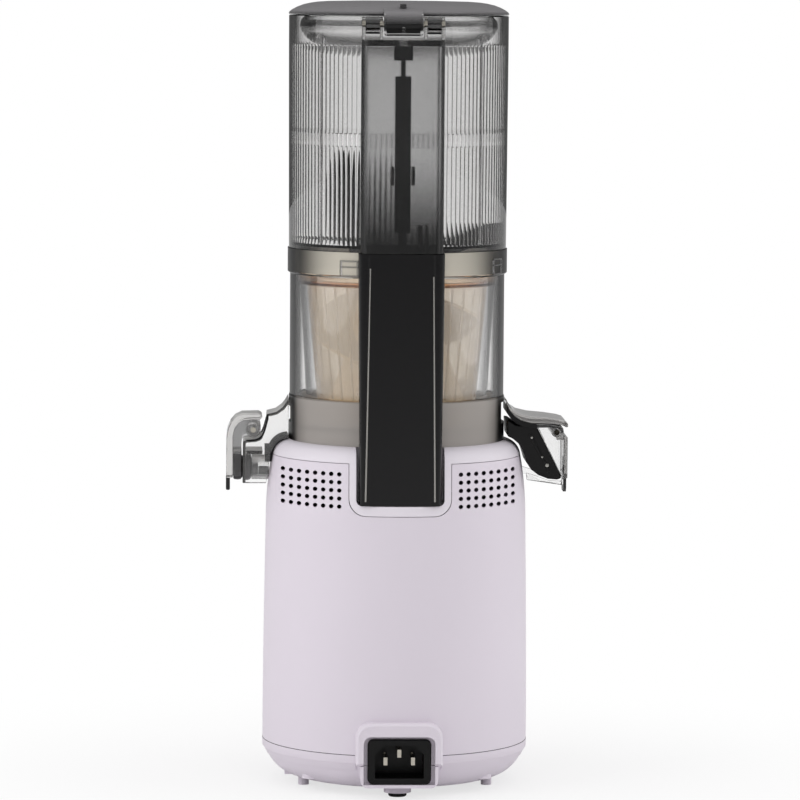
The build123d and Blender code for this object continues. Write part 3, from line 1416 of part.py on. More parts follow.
def lid_dish():
    top_z = lid_top_z - lid_wall
    foot_z = lid_seat_z - dish_drop
    outline = [
        Line((lid_flat_radius - 0.5, top_z), (dish_radius, lid_seat_z + 0.6)),
        Line((dish_radius, lid_seat_z + 0.6), (dish_radius, foot_z + 8.0)),
        ThreePointArc((dish_radius, foot_z + 8.0), (dish_radius - 4.6, foot_z + 2.4),
                      (dish_radius - 15.0, foot_z)),
        Line((dish_radius - 15.0, foot_z), (0, foot_z)),
        Line((0, foot_z), (0, foot_z + dish_wall)),
        Line((0, foot_z + dish_wall), (dish_radius - 15.0, foot_z + dish_wall)),
        ThreePointArc((dish_radius - 15.0, foot_z + dish_wall), (dish_radius - 5.8, foot_z + 3.6),
                      (dish_radius - dish_wall, foot_z + 8.0)),
        Line((dish_radius - dish_wall, foot_z + 8.0), (dish_radius - dish_wall, lid_seat_z - 0.4)),
        Line((dish_radius - dish_wall, lid_seat_z - 0.4), (lid_flat_radius - 2.6, top_z)),
        Line((lid_flat_radius - 2.6, top_z), (lid_flat_radius - 0.5, top_z)),
    ]
    return turned(outline)


def hinge_pin():
    return rod_along_x(hinge_pin_radius, -hinge_ear_outer, hinge_ear_outer, hinge_y, hinge_z)


# ---- Nodes -----------------------------------------------------------------------------------

nodes = {
    "main_housing": main_housing,
    "top_cover": top_cover,
    "base_plate": base_plate,
    "rubber_feet": rubber_feet,
    "base_screws": base_screws,
    "inlet_socket": inlet_socket,
    "inlet_pins": inlet_pins,
    "rotary_switch": rotary_switch,
    "control_knob": control_knob,
    "control_board": control_board,
    "interlock_switch": interlock_switch,
    "switch_plunger": switch_plunger,
    "motor_bracket_lower": motor_bracket_lower,
    "motor_bracket_upper": motor_bracket_upper,
    "motor_stator": motor_stator,
    "stator_windings": stator_windings,
    "motor_bearings": motor_bearings,
    "motor_bolts": motor_bolts,
    "motor_grommets": motor_grommets,
    "rotor_core": rotor_core,
    "rotor_shaft": rotor_shaft,
    "cooling_fan": cooling_fan,
    "first_wheel": first_wheel,
    "layshaft": layshaft,
    "output_gear": output_gear,
    "drive_shaft": drive_shaft,
    "gearbox_housing": gearbox_housing,
    "gearbox_cover": gearbox_cover,
    "gearbox_bushes": gearbox_bushes,
    "drive_bearings": drive_bearings,
    "shaft_seal": shaft_seal,
    "juicing_bowl": juicing_bowl,
    "hub_packing": hub_packing,
    "rod_column": rod_column,
    "lower_rod": lower_rod,
    "juice_spout": juice_spout,
    "spout_packing": spout_packing,
    "cap_lever": cap_lever,
    "cap_plug": cap_plug,
    "cap_pin": cap_pin,
    "pulp_spout": pulp_spout,
    "pulp_flap": pulp_flap,
    "pulp_door": pulp_door,
    "door_tab": door_tab,
    "door_pin": door_pin,
    "strainer": strainer,
    "strainer_rim": strainer_rim,
    "auger": auger,
    "feeding_wing": feeding_wing,
    "hopper": hopper,
    "rod_channel": rod_channel,
    "upper_rod": upper_rod,
    "lid": lid,
    "lid_dish": lid_dish,
    "hinge_pin": hinge_pin,
}

os.makedirs("parts", exist_ok=True)
for name, make in nodes.items():
    export_step(make(), f"parts/{name}.step")
    print("wrote", name)
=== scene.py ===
import json
import math

import bmesh
import bpy
from mathutils import Matrix, Quaternion, Vector


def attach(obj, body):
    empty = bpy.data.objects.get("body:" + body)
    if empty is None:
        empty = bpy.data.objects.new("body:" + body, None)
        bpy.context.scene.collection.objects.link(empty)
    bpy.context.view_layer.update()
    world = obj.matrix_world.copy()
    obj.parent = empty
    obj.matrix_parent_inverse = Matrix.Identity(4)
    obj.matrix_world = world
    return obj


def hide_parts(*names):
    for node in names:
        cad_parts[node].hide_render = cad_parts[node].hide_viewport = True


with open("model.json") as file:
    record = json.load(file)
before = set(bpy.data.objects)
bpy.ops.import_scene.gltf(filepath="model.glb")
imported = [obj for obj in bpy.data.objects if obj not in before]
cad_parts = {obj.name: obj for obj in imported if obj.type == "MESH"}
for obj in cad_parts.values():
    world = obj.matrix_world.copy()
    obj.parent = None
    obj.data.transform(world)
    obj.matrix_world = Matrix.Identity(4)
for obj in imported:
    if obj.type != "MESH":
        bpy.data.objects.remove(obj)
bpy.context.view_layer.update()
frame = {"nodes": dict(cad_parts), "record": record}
nodes = frame["nodes"]
print("frame loaded:", len(nodes), "nodes")

mm = 0.001
weld = 0.002 * mm
white = (1.0, 1.0, 1.0, 1.0)


def hexToLinear(code):
    channels = [int(code[i:i + 2], 16) / 255 for i in (1, 3, 5)]
    linear = [c / 12.92 if c <= 0.04045 else ((c + 0.055) / 1.055) ** 2.4 for c in channels]
    return (*linear, 1.0)


def addNode(tree, kind, sockets=None, **attributes):
    node = tree.nodes.new(kind)
    for name, value in attributes.items():
        setattr(node, name, value)
    for name, value in (sockets or {}).items():
        if isinstance(value, bpy.types.NodeSocket):
            tree.links.new(value, node.inputs[name])
        else:
            node.inputs[name].default_value = value
    return node


def addMath(tree, operation, first, second):
    return addNode(tree, "ShaderNodeMath", {0: first, 1: second}, operation=operation).outputs[0]


def addRange(tree, value, source=(0.0, 1.0), target=(0.0, 1.0), smooth=False):
    sockets = {
        "Value": value, "From Min": source[0], "From Max": source[1],
        "To Min": target[0], "To Max": target[1],
    }
    curve = "SMOOTHSTEP" if smooth else "LINEAR"
    return addNode(tree, "ShaderNodeMapRange", sockets, interpolation_type=curve).outputs[0]


def addNoise(tree, place, scale, detail, roughness=0.5):
    sockets = {"Vector": place, "Scale": scale, "Detail": detail, "Roughness": roughness}
    return addNode(tree, "ShaderNodeTexNoise", sockets).outputs[0]


def mixColours(tree, share, first, second):
    # Inputs 6 and 7 are the two colours of this node, and output 2 is their mix.
    sockets = {"Factor": share, 6: first, 7: second}
    return addNode(tree, "ShaderNodeMix", sockets, data_type="RGBA").outputs[2]


def mixSurfaces(tree, share, first, second):
    return addNode(tree, "ShaderNodeMixShader", {0: share, 1: first, 2: second}).outputs[0]


def startMaterial(name):
    material = bpy.data.materials.new(name)
    material.use_nodes = True
    tree = material.node_tree
    tree.nodes.clear()
    place = addNode(tree, "ShaderNodeTexCoord").outputs["Object"]
    return material, tree, place


def endMaterial(tree, surface, volume=None):
    sockets = {"Surface": surface}
    if volume is not None:
        sockets["Volume"] = volume
    addNode(tree, "ShaderNodeOutputMaterial", sockets)


# Camera: behind the machine, just above the lid, looking slightly down. Metres, degrees and
# millimetres of lens.
cameraPlace = {
    "distance": 2.499, "height": 0.4173, "turn": 2.2, "aim": (-0.0019, 0.0, 0.1997), "roll": 0.4,
    "lens": 216.9, "sensor": 36.0, "nearest": 0.1, "farthest": 20.0,
}


def makeCamera(c):
    camera = bpy.data.objects.new("camera", bpy.data.cameras.new("camera"))
    bpy.context.scene.collection.objects.link(camera)
    turn = math.radians(c["turn"])
    camera.location = (c["distance"] * math.sin(turn), c["distance"] * math.cos(turn), c["height"])
    look = (Vector(c["aim"]) - camera.location).to_track_quat("-Z", "Y")
    camera.rotation_mode = "QUATERNION"
    camera.rotation_quaternion = look @ Quaternion((0, 0, 1), math.radians(c["roll"]))
    camera.data.sensor_width = c["sensor"]
    camera.data.lens = c["lens"]
    camera.data.clip_start = c["nearest"]
    camera.data.clip_end = c["farthest"]
    bpy.context.scene.camera = camera
    bpy.context.scene.view_settings.view_transform = "Standard"


# Studio: white ground and surroundings. Two tall soft boxes stand beside the camera, two narrow
# strips behind it draw the bright lines on the round walls, and one soft box hangs overhead.
studio = {
    "ambient": 0.5, "mirrored": 0.16, "floorRadius": 6.0, "floorSides": 96, "floorColour": "#f4f4f4",
    "shadowFrom": 0.06, "shadowTo": 0.35, "shadowLift": 0.68, "aim": (0, 0, 0.2),
}

lamps = {
    "softBoxLeft": {"place": (1.35, 0.45, 0.45), "size": (1.6, 1.9), "watts": 13.8, "mirrored": False},
    "softBoxRight": {"place": (-1.4, 0.1, 0.45), "size": (1.6, 1.9), "watts": 12.2, "mirrored": False},
    "stripLeft": {"place": (0.42, 1.6, 0.45), "size": (0.1, 1.2), "watts": 0.45, "mirrored": True},
    "stripRight": {"place": (-0.42, 1.6, 0.45), "size": (0.1, 1.2), "watts": 0.45, "mirrored": True},
    "softBoxTop": {"place": (0.0, 0.5, 1.4), "size": (2.2, 2.0), "watts": 6.5, "mirrored": True},
}


def addRayShare(tree, mirrored):
    # 1 for the camera and for rays that go straight through clear plastic, mirrored for any ray that a
    # surface has thrown back, else 0. The dimmer mirror image keeps blacks black and clear rims dark.
    rays = addNode(tree, "ShaderNodeLightPath").outputs
    straight = addMath(tree, "MAXIMUM", rays["Is Camera Ray"], rays["Is Transmission Ray"])
    seen = addMath(tree, "MAXIMUM", straight, rays["Is Glossy Ray"])
    thrown = addMath(tree, "GREATER_THAN", rays["Glossy Depth"], 0.5)
    return addMath(tree, "MULTIPLY", seen, addRange(tree, thrown, target=(1.0, mirrored)))


def makeWorld(s):
    world = bpy.data.worlds.new("studioAir")
    bpy.context.scene.world = world
    world.use_nodes = True
    tree = world.node_tree
    tree.nodes.clear()
    share = addRayShare(tree, s["mirrored"])
    rays = addNode(tree, "ShaderNodeLightPath").outputs
    soft = addMath(tree, "MULTIPLY", rays["Is Diffuse Ray"], s["ambient"])
    strength = addMath(tree, "MAXIMUM", share, soft)
    air = addNode(tree, "ShaderNodeBackground", {"Color": white, "Strength": strength})
    addNode(tree, "ShaderNodeOutputWorld", {"Surface": air.outputs[0]})


def makeFloor(s):
    # White ground that keeps the machine's shadow close to its feet.
    bm = bmesh.new()
    bmesh.ops.create_circle(bm, cap_ends=True, segments=s["floorSides"], radius=s["floorRadius"])
    mesh = bpy.data.meshes.new("floor")
    bm.to_mesh(mesh)
    bm.free()
    floor = bpy.data.objects.new("floor", mesh)
    bpy.context.scene.collection.objects.link(floor)
    material, tree, place = startMaterial("paintedPaperSweep")
    colour = hexToLinear(s["floorColour"])
    paper = addNode(tree, "ShaderNodeBsdfDiffuse", {"Color": colour, "Roughness": 0.9})
    share = addRayShare(tree, s["mirrored"])
    away = addNode(tree, "ShaderNodeVectorMath", {0: place}, operation="LENGTH").outputs["Value"]
    near = addRange(tree, away, (s["shadowFrom"], s["shadowTo"]), (s["shadowLift"], 1.0), smooth=True)
    blend = addMath(tree, "MULTIPLY", near, share)
    glow = addNode(tree, "ShaderNodeEmission", {"Color": white, "Strength": 1.0})
    endMaterial(tree, mixSurfaces(tree, blend, paper.outputs[0], glow.outputs[0]))
    mesh.materials.append(material)


def makeLamp(name, lamp, aim):
    # A lamp that isn't mirrored would wash out the dark rims of clear plastic.
    light = bpy.data.objects.new(name, bpy.data.lights.new(name, "AREA"))
    bpy.context.scene.collection.objects.link(light)
    light.data.shape = "RECTANGLE"
    light.data.size = lamp["size"][0]
    light.data.size_y = lamp["size"][1]
    light.data.energy = lamp["watts"]
    light.location = lamp["place"]
    light.rotation_mode = "QUATERNION"
    light.rotation_quaternion = (Vector(aim) - Vector(lamp["place"])).to_track_quat("-Z", "Y")
    light.visible_glossy = lamp["mirrored"]


makeCamera(cameraPlace)
makeWorld(studio)
makeFloor(studio)
for lampName, lampSetting in lamps.items():
    makeLamp(lampName, lampSetting, studio["aim"])
print("camera and studio made")


def mouldedPlastic(name, colour, roughness, grain=0.5, depth=0.02, shine=0.5):
    # Injection moulded plastic or rubber with a spark-eroded skin: fine even grain that breaks the
    # highlight up. grain is its pitch in millimetres, drawn coarser than the real 0.1 mm so that it
    # shows, and depth its height.
    material, tree, place = startMaterial(name)
    skin = addNoise(tree, place, 1000 / grain, 2.0, 0.6)
    cloud = addNoise(tree, place, 14.0, 3.0)
    deeper = tuple(c * 0.95 for c in hexToLinear(colour)[:3]) + (1.0,)
    shell = addNode(tree, "ShaderNodeBsdfPrincipled", {
        "Base Color": mixColours(tree, cloud, hexToLinear(colour), deeper),
        "Roughness": addRange(tree, skin, target=(roughness - 0.06, roughness + 0.06)),
        "IOR": 1.52,
        "Specular IOR Level": shine,
        "Normal": addNode(tree, "ShaderNodeBump", {
            "Strength": 0.25, "Distance": depth * mm, "Height": skin,
        }).outputs[0],
    })
    endMaterial(tree, shell.outputs[0])
    return material


def turnedMetal(name, colour, roughness, pitch=0.3):
    # Turned or ground metal: fine marks, pitch millimetres apart, that stretch the highlight.
    material, tree, place = startMaterial(name)
    marks = addNoise(tree, place, 1000 / pitch, 1.0)
    metal = addNode(tree, "ShaderNodeBsdfPrincipled", {
        "Base Color": hexToLinear(colour),
        "Metallic": 1.0,
        "Roughness": addRange(tree, marks, target=(roughness - 0.08, roughness + 0.08)),
        "Normal": addNode(tree, "ShaderNodeBump", {
            "Strength": 0.2, "Distance": 0.01 * mm, "Height": marks,
        }).outputs[0],
    })
    endMaterial(tree, metal.outputs[0])
    return material


def addBand(tree, surface, height, facing, edge, band):
    # Matt band on clear plastic that hides what is behind it. band is (foot, top, share, colour, side)
    # with the heights in millimetres and side the facing at which painted shade starts to darken the band
    # towards its sides.
    foot, top, share, colour, side = band
    over = addRange(tree, height, ((foot - 0.15) * mm, (foot + 0.15) * mm))
    under = addRange(tree, height, ((top - 0.15) * mm, (top + 0.15) * mm), (share, 0.0))
    # Painted shade: the band darkens towards its sides.
    away = addRange(tree, facing, (side, side + 0.45), smooth=True)
    matt = addNode(tree, "ShaderNodeBsdfPrincipled", {
        "Base Color": mixColours(tree, away, hexToLinear(colour), hexToLinear(edge)),
        "Roughness": 0.45, "IOR": 1.5, "Transmission Weight": 0.25,
    })
    return mixSurfaces(tree, addMath(tree, "MULTIPLY", over, under), surface, matt.outputs[0])


def addPaintedRimShade(tree, surface, facing, edge, share):
    # Painted shade: a dark rim that hides what is behind it where the wall turns away from the eye.
    hidden = addRange(tree, facing, (0.58, 0.72), (0.0, share), smooth=True)
    dark = addNode(tree, "ShaderNodeBsdfPrincipled", {
        "Base Color": hexToLinear(edge), "Roughness": 0.3, "IOR": 1.5, "Specular IOR Level": 0.2,
    })
    return mixSurfaces(tree, hidden, surface, dark.outputs[0])


def addMilkAndPaintedTopLight(tree, surface, colour, milk, paintedTopLight):
    # Light that the plastic's body scatters, and painted light on faces turned upwards: they get a larger
    # share of it, standing in for the overhead light falling on them.
    outward = addNode(tree, "ShaderNodeTexCoord").outputs["Normal"]
    upward = addNode(tree, "ShaderNodeSeparateXYZ", {0: outward}).outputs["Z"]
    # Painted light: the share grows on faces turned upwards.
    share = addRange(tree, upward, (0.35, 0.8), (milk, max(milk, paintedTopLight)))
    cloudy = addNode(tree, "ShaderNodeBsdfPrincipled", {
        "Base Color": hexToLinear(colour), "Roughness": 0.3, "IOR": 1.5,
    })
    return mixSurfaces(tree, share, surface, cloudy.outputs[0])


def clearPlastic(name, tint, density, roughness, edge, passing, bands=(), shade=(), milk=0.0, paintedTopLight=0.0,
                 paintedRimShade=0.0):
    # Injection moulded clear plastic: the tint deepens with the path through the wall, rims that turn
    # away from the eye are darkened with painted shade, and passing is what one surface lets through to
    # a lamp's ray and the colour of the light that the plastic scatters. shade is (foot, top, share) of
    # painted shade that darkens the wall towards its foot. The milk share is light that the body
    # scatters, the upward share is painted light on faces turned upwards, and the rim share is how far
    # a painted dark rim hides what is behind it.
    material, tree, place = startMaterial(name)
    flow = addNoise(tree, place, 60.0, 2.0)
    rough = addRange(tree, flow, target=(max(roughness - 0.02, 0.0), roughness + 0.02))
    facing = addNode(tree, "ShaderNodeLayerWeight", {"Blend": 0.5}).outputs["Facing"]
    # Painted shade: the colour darkens on rims that turn away from the eye.
    turned = addRange(tree, facing, (0.5, 0.82), smooth=True)
    height = addNode(tree, "ShaderNodeSeparateXYZ", {0: place}).outputs["Z"]
    paintedShadeTone = mixColours(tree, turned, white, hexToLinear(edge))
    # Painted shade that darkens the wall towards its foot.
    if shade:
        foot, top, share = shade
        deep = addRange(tree, height, (foot * mm, top * mm), (share, 0.0), smooth=True)
        paintedShadeTone = mixColours(tree, deep, paintedShadeTone, hexToLinear(edge))
    surface = addNode(tree, "ShaderNodeBsdfPrincipled", {
        "Base Color": paintedShadeTone, "Roughness": rough, "IOR": 1.5, "Transmission Weight": 1.0,
    }).outputs[0]
    for band in bands:
        surface = addBand(tree, surface, height, facing, edge, band)
    if paintedRimShade:
        surface = addPaintedRimShade(tree, surface, facing, edge, paintedRimShade)
    if milk or paintedTopLight:
        surface = addMilkAndPaintedTopLight(tree, surface, passing, milk, paintedTopLight)
    shadowRay = addNode(tree, "ShaderNodeLightPath").outputs["Is Shadow Ray"]
    through = addNode(tree, "ShaderNodeBsdfTransparent", {"Color": hexToLinear(passing)})
    smoke = addNode(tree, "ShaderNodeVolumeAbsorption", {"Color": hexToLinear(tint), "Density": density})
    endMaterial(tree, mixSurfaces(tree, shadowRay, surface, through.outputs[0]), smoke.outputs[0])
    return material


# Matt bands on the bowl, each darkened towards its sides with painted shade.
bowlBands = [(170.0, 202.5, 0.9, "#aca6a1", 0.4), (267.3, 280.0, 0.85, "#dcd6c8", 0.1)]
# Painted shade that darkens the rod channel's smoke towards its foot.
channelShade = (283.0, 338.0, 0.88)

finishes = {
    "housing_plastic": mouldedPlastic("texturedAbsLavender", "#e0d8e2", 0.45),
    "cover_plastic": mouldedPlastic("satinAbsLavender", "#e6e0e8", 0.38),
    "foot_rubber": mouldedPlastic("blackRubber", "#0c0c0c", 0.75, 0.8, 0.05),
    "screw_steel": turnedMetal("zincPlatedSteel", "#b9b7b2", 0.35),
    "inlet_plastic": mouldedPlastic("blackPbt", "#030303", 0.35, 0.5, 0.02, 0.25),
    "pin_nickel": turnedMetal("nickelPlatedBrass", "#c9c4b8", 0.25),
    "switch_plastic": mouldedPlastic("blackNylonSwitch", "#151516", 0.4),
    "knob_plastic": mouldedPlastic("satinAbsKnob", "#dcd5df", 0.3),
    "board_laminate": mouldedPlastic("greenGlassLaminate", "#1f5a34", 0.35),
    "bracket_alloy": turnedMetal("dieCastAluminium", "#b8babc", 0.5, 0.8),
    "lamination_steel": turnedMetal("stampedLaminations", "#8b8d90", 0.45, 0.5),
    "coil_copper": turnedMetal("enamelledCopper", "#a8522a", 0.3, 0.6),
    "shaft_steel": turnedMetal("groundSteel", "#b4b6b8", 0.25),
    "fan_plastic": mouldedPlastic("blackNylonFan", "#1a1a1b", 0.5),
    "gear_plastic": mouldedPlastic("acetalGear", "#e6e2d6", 0.35),
    "gearbox_plastic": mouldedPlastic("glassFilledNylon", "#2c2d30", 0.55, 0.9, 0.04),
    "bush_bronze": turnedMetal("sinteredBronze", "#a37a45", 0.5, 0.4),
    "seal_rubber": mouldedPlastic("blackNitrile", "#101010", 0.65, 0.8, 0.04),
    # The bowl's rims are darkened with painted shade.
    "bowl_clear": clearPlastic("smokeCopolyesterBowl", "#8d8884", 45.0, 0.02, "#060606", "#f2f0ee",
                               bands=bowlBands, paintedRimShade=0.9),
    "column_smoke": mouldedPlastic("darkSmokeCopolyester", "#0a090b", 0.22, 0.5, 0.01, 0.3),
    "rod_plastic": mouldedPlastic("blackAcetalRod", "#060607", 0.35, 0.5, 0.02, 0.3),
    # Painted light on the spout's faces turned upwards.
    "spout_clear": clearPlastic("clearCopolyesterSpout", "#a5a19e", 45.0, 0.02, "#121212", "#f4f3f2",
                                milk=0.015, paintedTopLight=0.6),
    "plug_silicone": mouldedPlastic("greySilicone", "#1d1c1e", 0.5),
    "flap_silicone": mouldedPlastic("blackSilicone", "#040304", 0.4, 0.5, 0.02, 0.3),
    "tab_plastic": mouldedPlastic("blackAbsTab", "#0b0a0b", 0.35),
    "strainer_gold": clearPlastic("amberPolyetherimide", "#fbdc8c", 130.0, 0.12, "#b28a4c", "#fff0cf",
                                  milk=0.18),
    "rim_gold": clearPlastic("amberRimPolyetherimide", "#f6cf74", 320.0, 0.12, "#7a4f14", "#ffe9bb"),
    "auger_putty": mouldedPlastic("puttyPolyetherimide", "#e2dac8", 0.4),
    "wing_black": mouldedPlastic("blackPolyetherimideWing", "#060607", 0.3, 0.5, 0.02, 0.3),
    "hopper_clear": clearPlastic("smokeCopolyesterHopper", "#8f8c8a", 95.0, 0.02, "#050505", "#eeecea"),
    # Painted shade darkens the channel towards its foot.
    "channel_smoke": clearPlastic("smokeCopolyesterChannel", "#5c5a5c", 265.0, 0.26, "#0c0b0c", "#a09d9f",
                                  shade=channelShade),
    # Painted light on the lid's faces turned upwards.
    "lid_smoke": clearPlastic("smokeCopolyesterLid", "#3c3a3b", 420.0, 0.12, "#0c0b0c", "#8a888a",
                              milk=0.1, paintedTopLight=0.8),
    "dish_clear": clearPlastic("clearCopolyesterDish", "#8f8c8a", 30.0, 0.02, "#0a0a0a", "#f6f5f4"),
}
print("materials made:", len(finishes))

for part in frame["record"]["subparts"]:
    shown = nodes[part["node"]]
    shown.data.materials.clear()
    shown.data.materials.append(finishes[part["material_slot"]])
print("finishes put on", len(nodes), "nodes")


def makePiece(bm, name, finish, body, *replaced):
    # Welds and shades what was built, then links it into the scene under its body's empty and hides the CAD
    # nodes it replaces.
    bmesh.ops.remove_doubles(bm, verts=bm.verts, dist=weld)
    bmesh.ops.recalc_face_normals(bm, faces=bm.faces)
    for face in bm.faces:
        face.smooth = True
    for edge in bm.edges:
        if len(edge.link_faces) == 2:
            small, large = sorted(face.calc_area() for face in edge.link_faces)
            turn = edge.calc_face_angle(0.0)
            # A large flat face beside the narrow faces of a rounding keeps its own normal.
            edge.smooth = turn < math.radians(1) or (turn < math.radians(32) and large < 8 * small)
    mesh = bpy.data.meshes.new(name)
    bm.to_mesh(mesh)
    bm.free()
    mesh.materials.append(finishes[finish])
    piece = bpy.data.objects.new(name, mesh)
    bpy.context.scene.collection.objects.link(piece)
    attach(piece, body)
    if replaced:
        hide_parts(*replaced)


def spinProfile(bm, points, steps, start=0.0, sweep=360.0):
    # A closed outline of (radius, height) in millimetres, turned about the machine's axis.
    verts = [bm.verts.new((r * mm, 0, z * mm)) for r, z in points]
    edges = [bm.edges.new((a, b)) for a, b in zip(verts, verts[1:] + verts[:1])]
    if start:
        turn = Matrix.Rotation(math.radians(start), 3, "Z")
        bmesh.ops.rotate(bm, verts=verts, cent=(0, 0, 0), matrix=turn)
    full = sweep == 360.0
    bmesh.ops.spin(bm, geom=verts + edges, cent=(0, 0, 0), axis=(0, 0, 1), angle=math.radians(sweep),
                   steps=steps, use_merge=full, use_duplicate=False)


def closeEnds(bm):
    bmesh.ops.holes_fill(bm, edges=[e for e in bm.edges if e.is_boundary], sides=0)


def addPlaced(bm, other, matrix):
    bmesh.ops.transform(other, verts=other.verts, matrix=matrix, space=Matrix.Identity(4))
    mesh = bpy.data.meshes.new("placed")
    other.to_mesh(mesh)
    other.free()
    bm.from_mesh(mesh)
    bpy.data.meshes.remove(mesh)


def addTurned(bm, other, degrees):
    addPlaced(bm, other, Matrix.Rotation(math.radians(degrees), 4, "Z"))


def addAlongX(bm, points, y, z, steps=48):
    # An outline of (radius, x), turned about a line along X.
    other = bmesh.new()
    spinProfile(other, points, steps)
    addPlaced(bm, other, Matrix.Translation((0, y * mm, z * mm)) @ Matrix.Rotation(math.pi / 2, 4, "Y"))


def addAlongY(bm, points, x, z, steps=48):
    # An outline of (radius, y), turned about a line along Y.
    other = bmesh.new()
    spinProfile(other, points, steps)
    addPlaced(bm, other, Matrix.Translation((x * mm, 0, z * mm)) @ Matrix.Rotation(-math.pi / 2, 4, "X"))


def arc(centre, radius, fromAngle, toAngle, count):
    turns = [math.radians(fromAngle + (toAngle - fromAngle) * i / count) for i in range(count + 1)]
    return [(centre[0] + radius * math.cos(t), centre[1] + radius * math.sin(t)) for t in turns]


def strip(inner, outer, low, high):
    # The four corners of a plain section, for spinProfile and its two turned forms.
    return [(inner, low), (outer, low), (outer, high), (inner, high)]


def sideSpan(side, near, far):
    # A span on one side of the middle, side being 1 or -1, with its lower end first.
    return sorted((side * near, side * far))


def extrudeOutline(bm, plane, points, low, high, soften=0.0, segments=3):
    # plane names the two axes that the outline's points, in millimetres, lie along. soften is the
    # width of the rounding on every sharp edge.
    order = {"XY": (0, 1, 2), "XZ": (0, 2, 1), "YZ": (1, 2, 0)}[plane]
    verts = []
    for u, v in points:
        spot = [0.0, 0.0, 0.0]
        for axis, value in zip(order, (u, v, low)):
            spot[axis] = value * mm
        verts.append(bm.verts.new(spot))
    face = bm.faces.new(verts)
    grown = bmesh.ops.extrude_face_region(bm, geom=[face], use_keep_orig=True)["geom"]
    along = Vector([(high - low) * mm if i == order[2] else 0.0 for i in range(3)])
    moved = [g for g in grown if isinstance(g, bmesh.types.BMVert)]
    bmesh.ops.translate(bm, verts=moved, vec=along)
    if soften:
        everything = verts + moved
        edges = list({e for v in everything for e in v.link_edges})
        faces = list({f for v in everything for f in v.link_faces})
        bmesh.ops.recalc_face_normals(bm, faces=faces)
        sharp = [e for e in edges if len(e.link_faces) == 2 and e.calc_face_angle(0.0) > math.radians(25)]
        bmesh.ops.bevel(bm, geom=sharp, offset=soften * mm, offset_type="OFFSET", affect="EDGES",
                        segments=segments, profile=0.5, material=-1, clamp_overlap=True)


def makeBox(bm, x, y, z, soften=0.0):
    corners = [(x[0], y[0]), (x[1], y[0]), (x[1], y[1]), (x[0], y[1])]
    extrudeOutline(bm, "XY", corners, z[0], z[1], soften)


skirtShape = {
    "radius": 68.9, "seam": 23.2, "line": 0.26, "lineDepth": 0.3, "proud": 0.08, "shelf": 19.7,
    "start": 109.0, "sweep": 322.0, "steps": 160,
    "foot": [(68.5, 18.7), (67.7, 17.5), (66.6, 15.4), (65.9, 15.4), (67.0, 18.0), (67.6, 19.0)],
}


def makeSkirt(k):
    # Rounded skirt that takes the housing's foot over to the base plate, and on top of it a black strip of
    # painted shade where the parting line lies. Both stop at the hood over the inlet.
    r, seam, outer = k["radius"], k["seam"], k["radius"] + k["proud"]
    bm = bmesh.new()
    outline = [(r, seam - 0.1), (outer, seam - 0.2), (outer, k["shelf"])] + k["foot"]
    spinProfile(bm, outline, k["steps"], k["start"], k["sweep"])
    closeEnds(bm)
    makePiece(bm, "footSkirt", "housing_plastic", "base")
    # Painted shade: a black strip for the shade in the parting line.
    bm = bmesh.new()
    line = strip(r - k["lineDepth"], outer, seam, seam + k["line"])
    spinProfile(bm, line, k["steps"], k["start"], k["sweep"])
    closeEnds(bm)
    makePiece(bm, "partingLineShade", "foot_rubber", "base")


makeSkirt(skirtShape)
print("foot dressed")

hopperShape = {
    "footRadius": 56.3, "topRadius": 56.8, "wall": 2.5, "foot": 279.5, "top": 399.3, "lip": 0.4,
    "fluteFoot": 282.8, "fluteTop": 384.5, "flutes": 132, "fluteDepth": 0.4, "stepsPerFlute": 8,
    "spigotRadius": 52.7, "spigotWall": 2.4, "spigotFoot": 270.5,
    "bandFoot": 333.0, "bandTop": 339.5, "bandDepth": 0.75, "ribAngle": 42.0, "ribDepth": 1.6,
    "ribWidth": 1.1, "ribTop": 388.6, "hook": 1.5,
    "notchHalf": 10.6, "notchFoot": 386.7, "notchRear": 40.0, "notchBelow": 384.0,
    "lugs": 4, "lugRadius": 54.4, "lugFoot": 272.5, "lugHeight": 3.2, "lugStart": 39.0, "lugSweep": 12.0,
}


def hopperOutline(h, roundHeight):
    # Section of the wall and of the spigot that enters the bowl's ring. The inside has a row of points
    # at each height where the flutes change.
    lip = h["lip"]
    innerTop = h["topRadius"] - h["wall"]
    innerFoot = h["footRadius"] - h["wall"]
    spigotInner = h["spigotRadius"] - h["spigotWall"]
    slope = (innerTop - innerFoot) / (h["top"] - h["foot"])
    heights = [h["fluteFoot"] + 0.5 + i * 2.0 for i in range(3)]
    heights += [h["bandFoot"] - 0.2, h["bandFoot"] + 0.2, h["bandTop"] - 0.2, h["bandTop"] + 0.2]
    heights += [h["fluteTop"] - roundHeight - 0.4]
    heights += [h["fluteTop"] - roundHeight * (1 - i / 6) for i in range(7)]
    outline = [
        (h["footRadius"], h["foot"]), (h["footRadius"] + 0.05, h["fluteFoot"]),
        (h["topRadius"], h["fluteTop"]), (h["topRadius"], h["top"] - lip), (h["topRadius"] - lip, h["top"]),
        (innerTop + lip, h["top"]), (innerTop, h["top"] - lip),
    ]
    outline += [(innerFoot + (z - h["foot"]) * slope, z) for z in reversed(heights)]
    outline += [
        (innerFoot, h["fluteFoot"] - 0.3), (spigotInner, h["foot"] + 1.5),
        (spigotInner, h["spigotFoot"] + lip), (spigotInner + lip, h["spigotFoot"]),
        (h["spigotRadius"] - lip, h["spigotFoot"]),
        (h["spigotRadius"], h["spigotFoot"] + lip), (h["spigotRadius"], h["foot"]),
    ]
    return outline


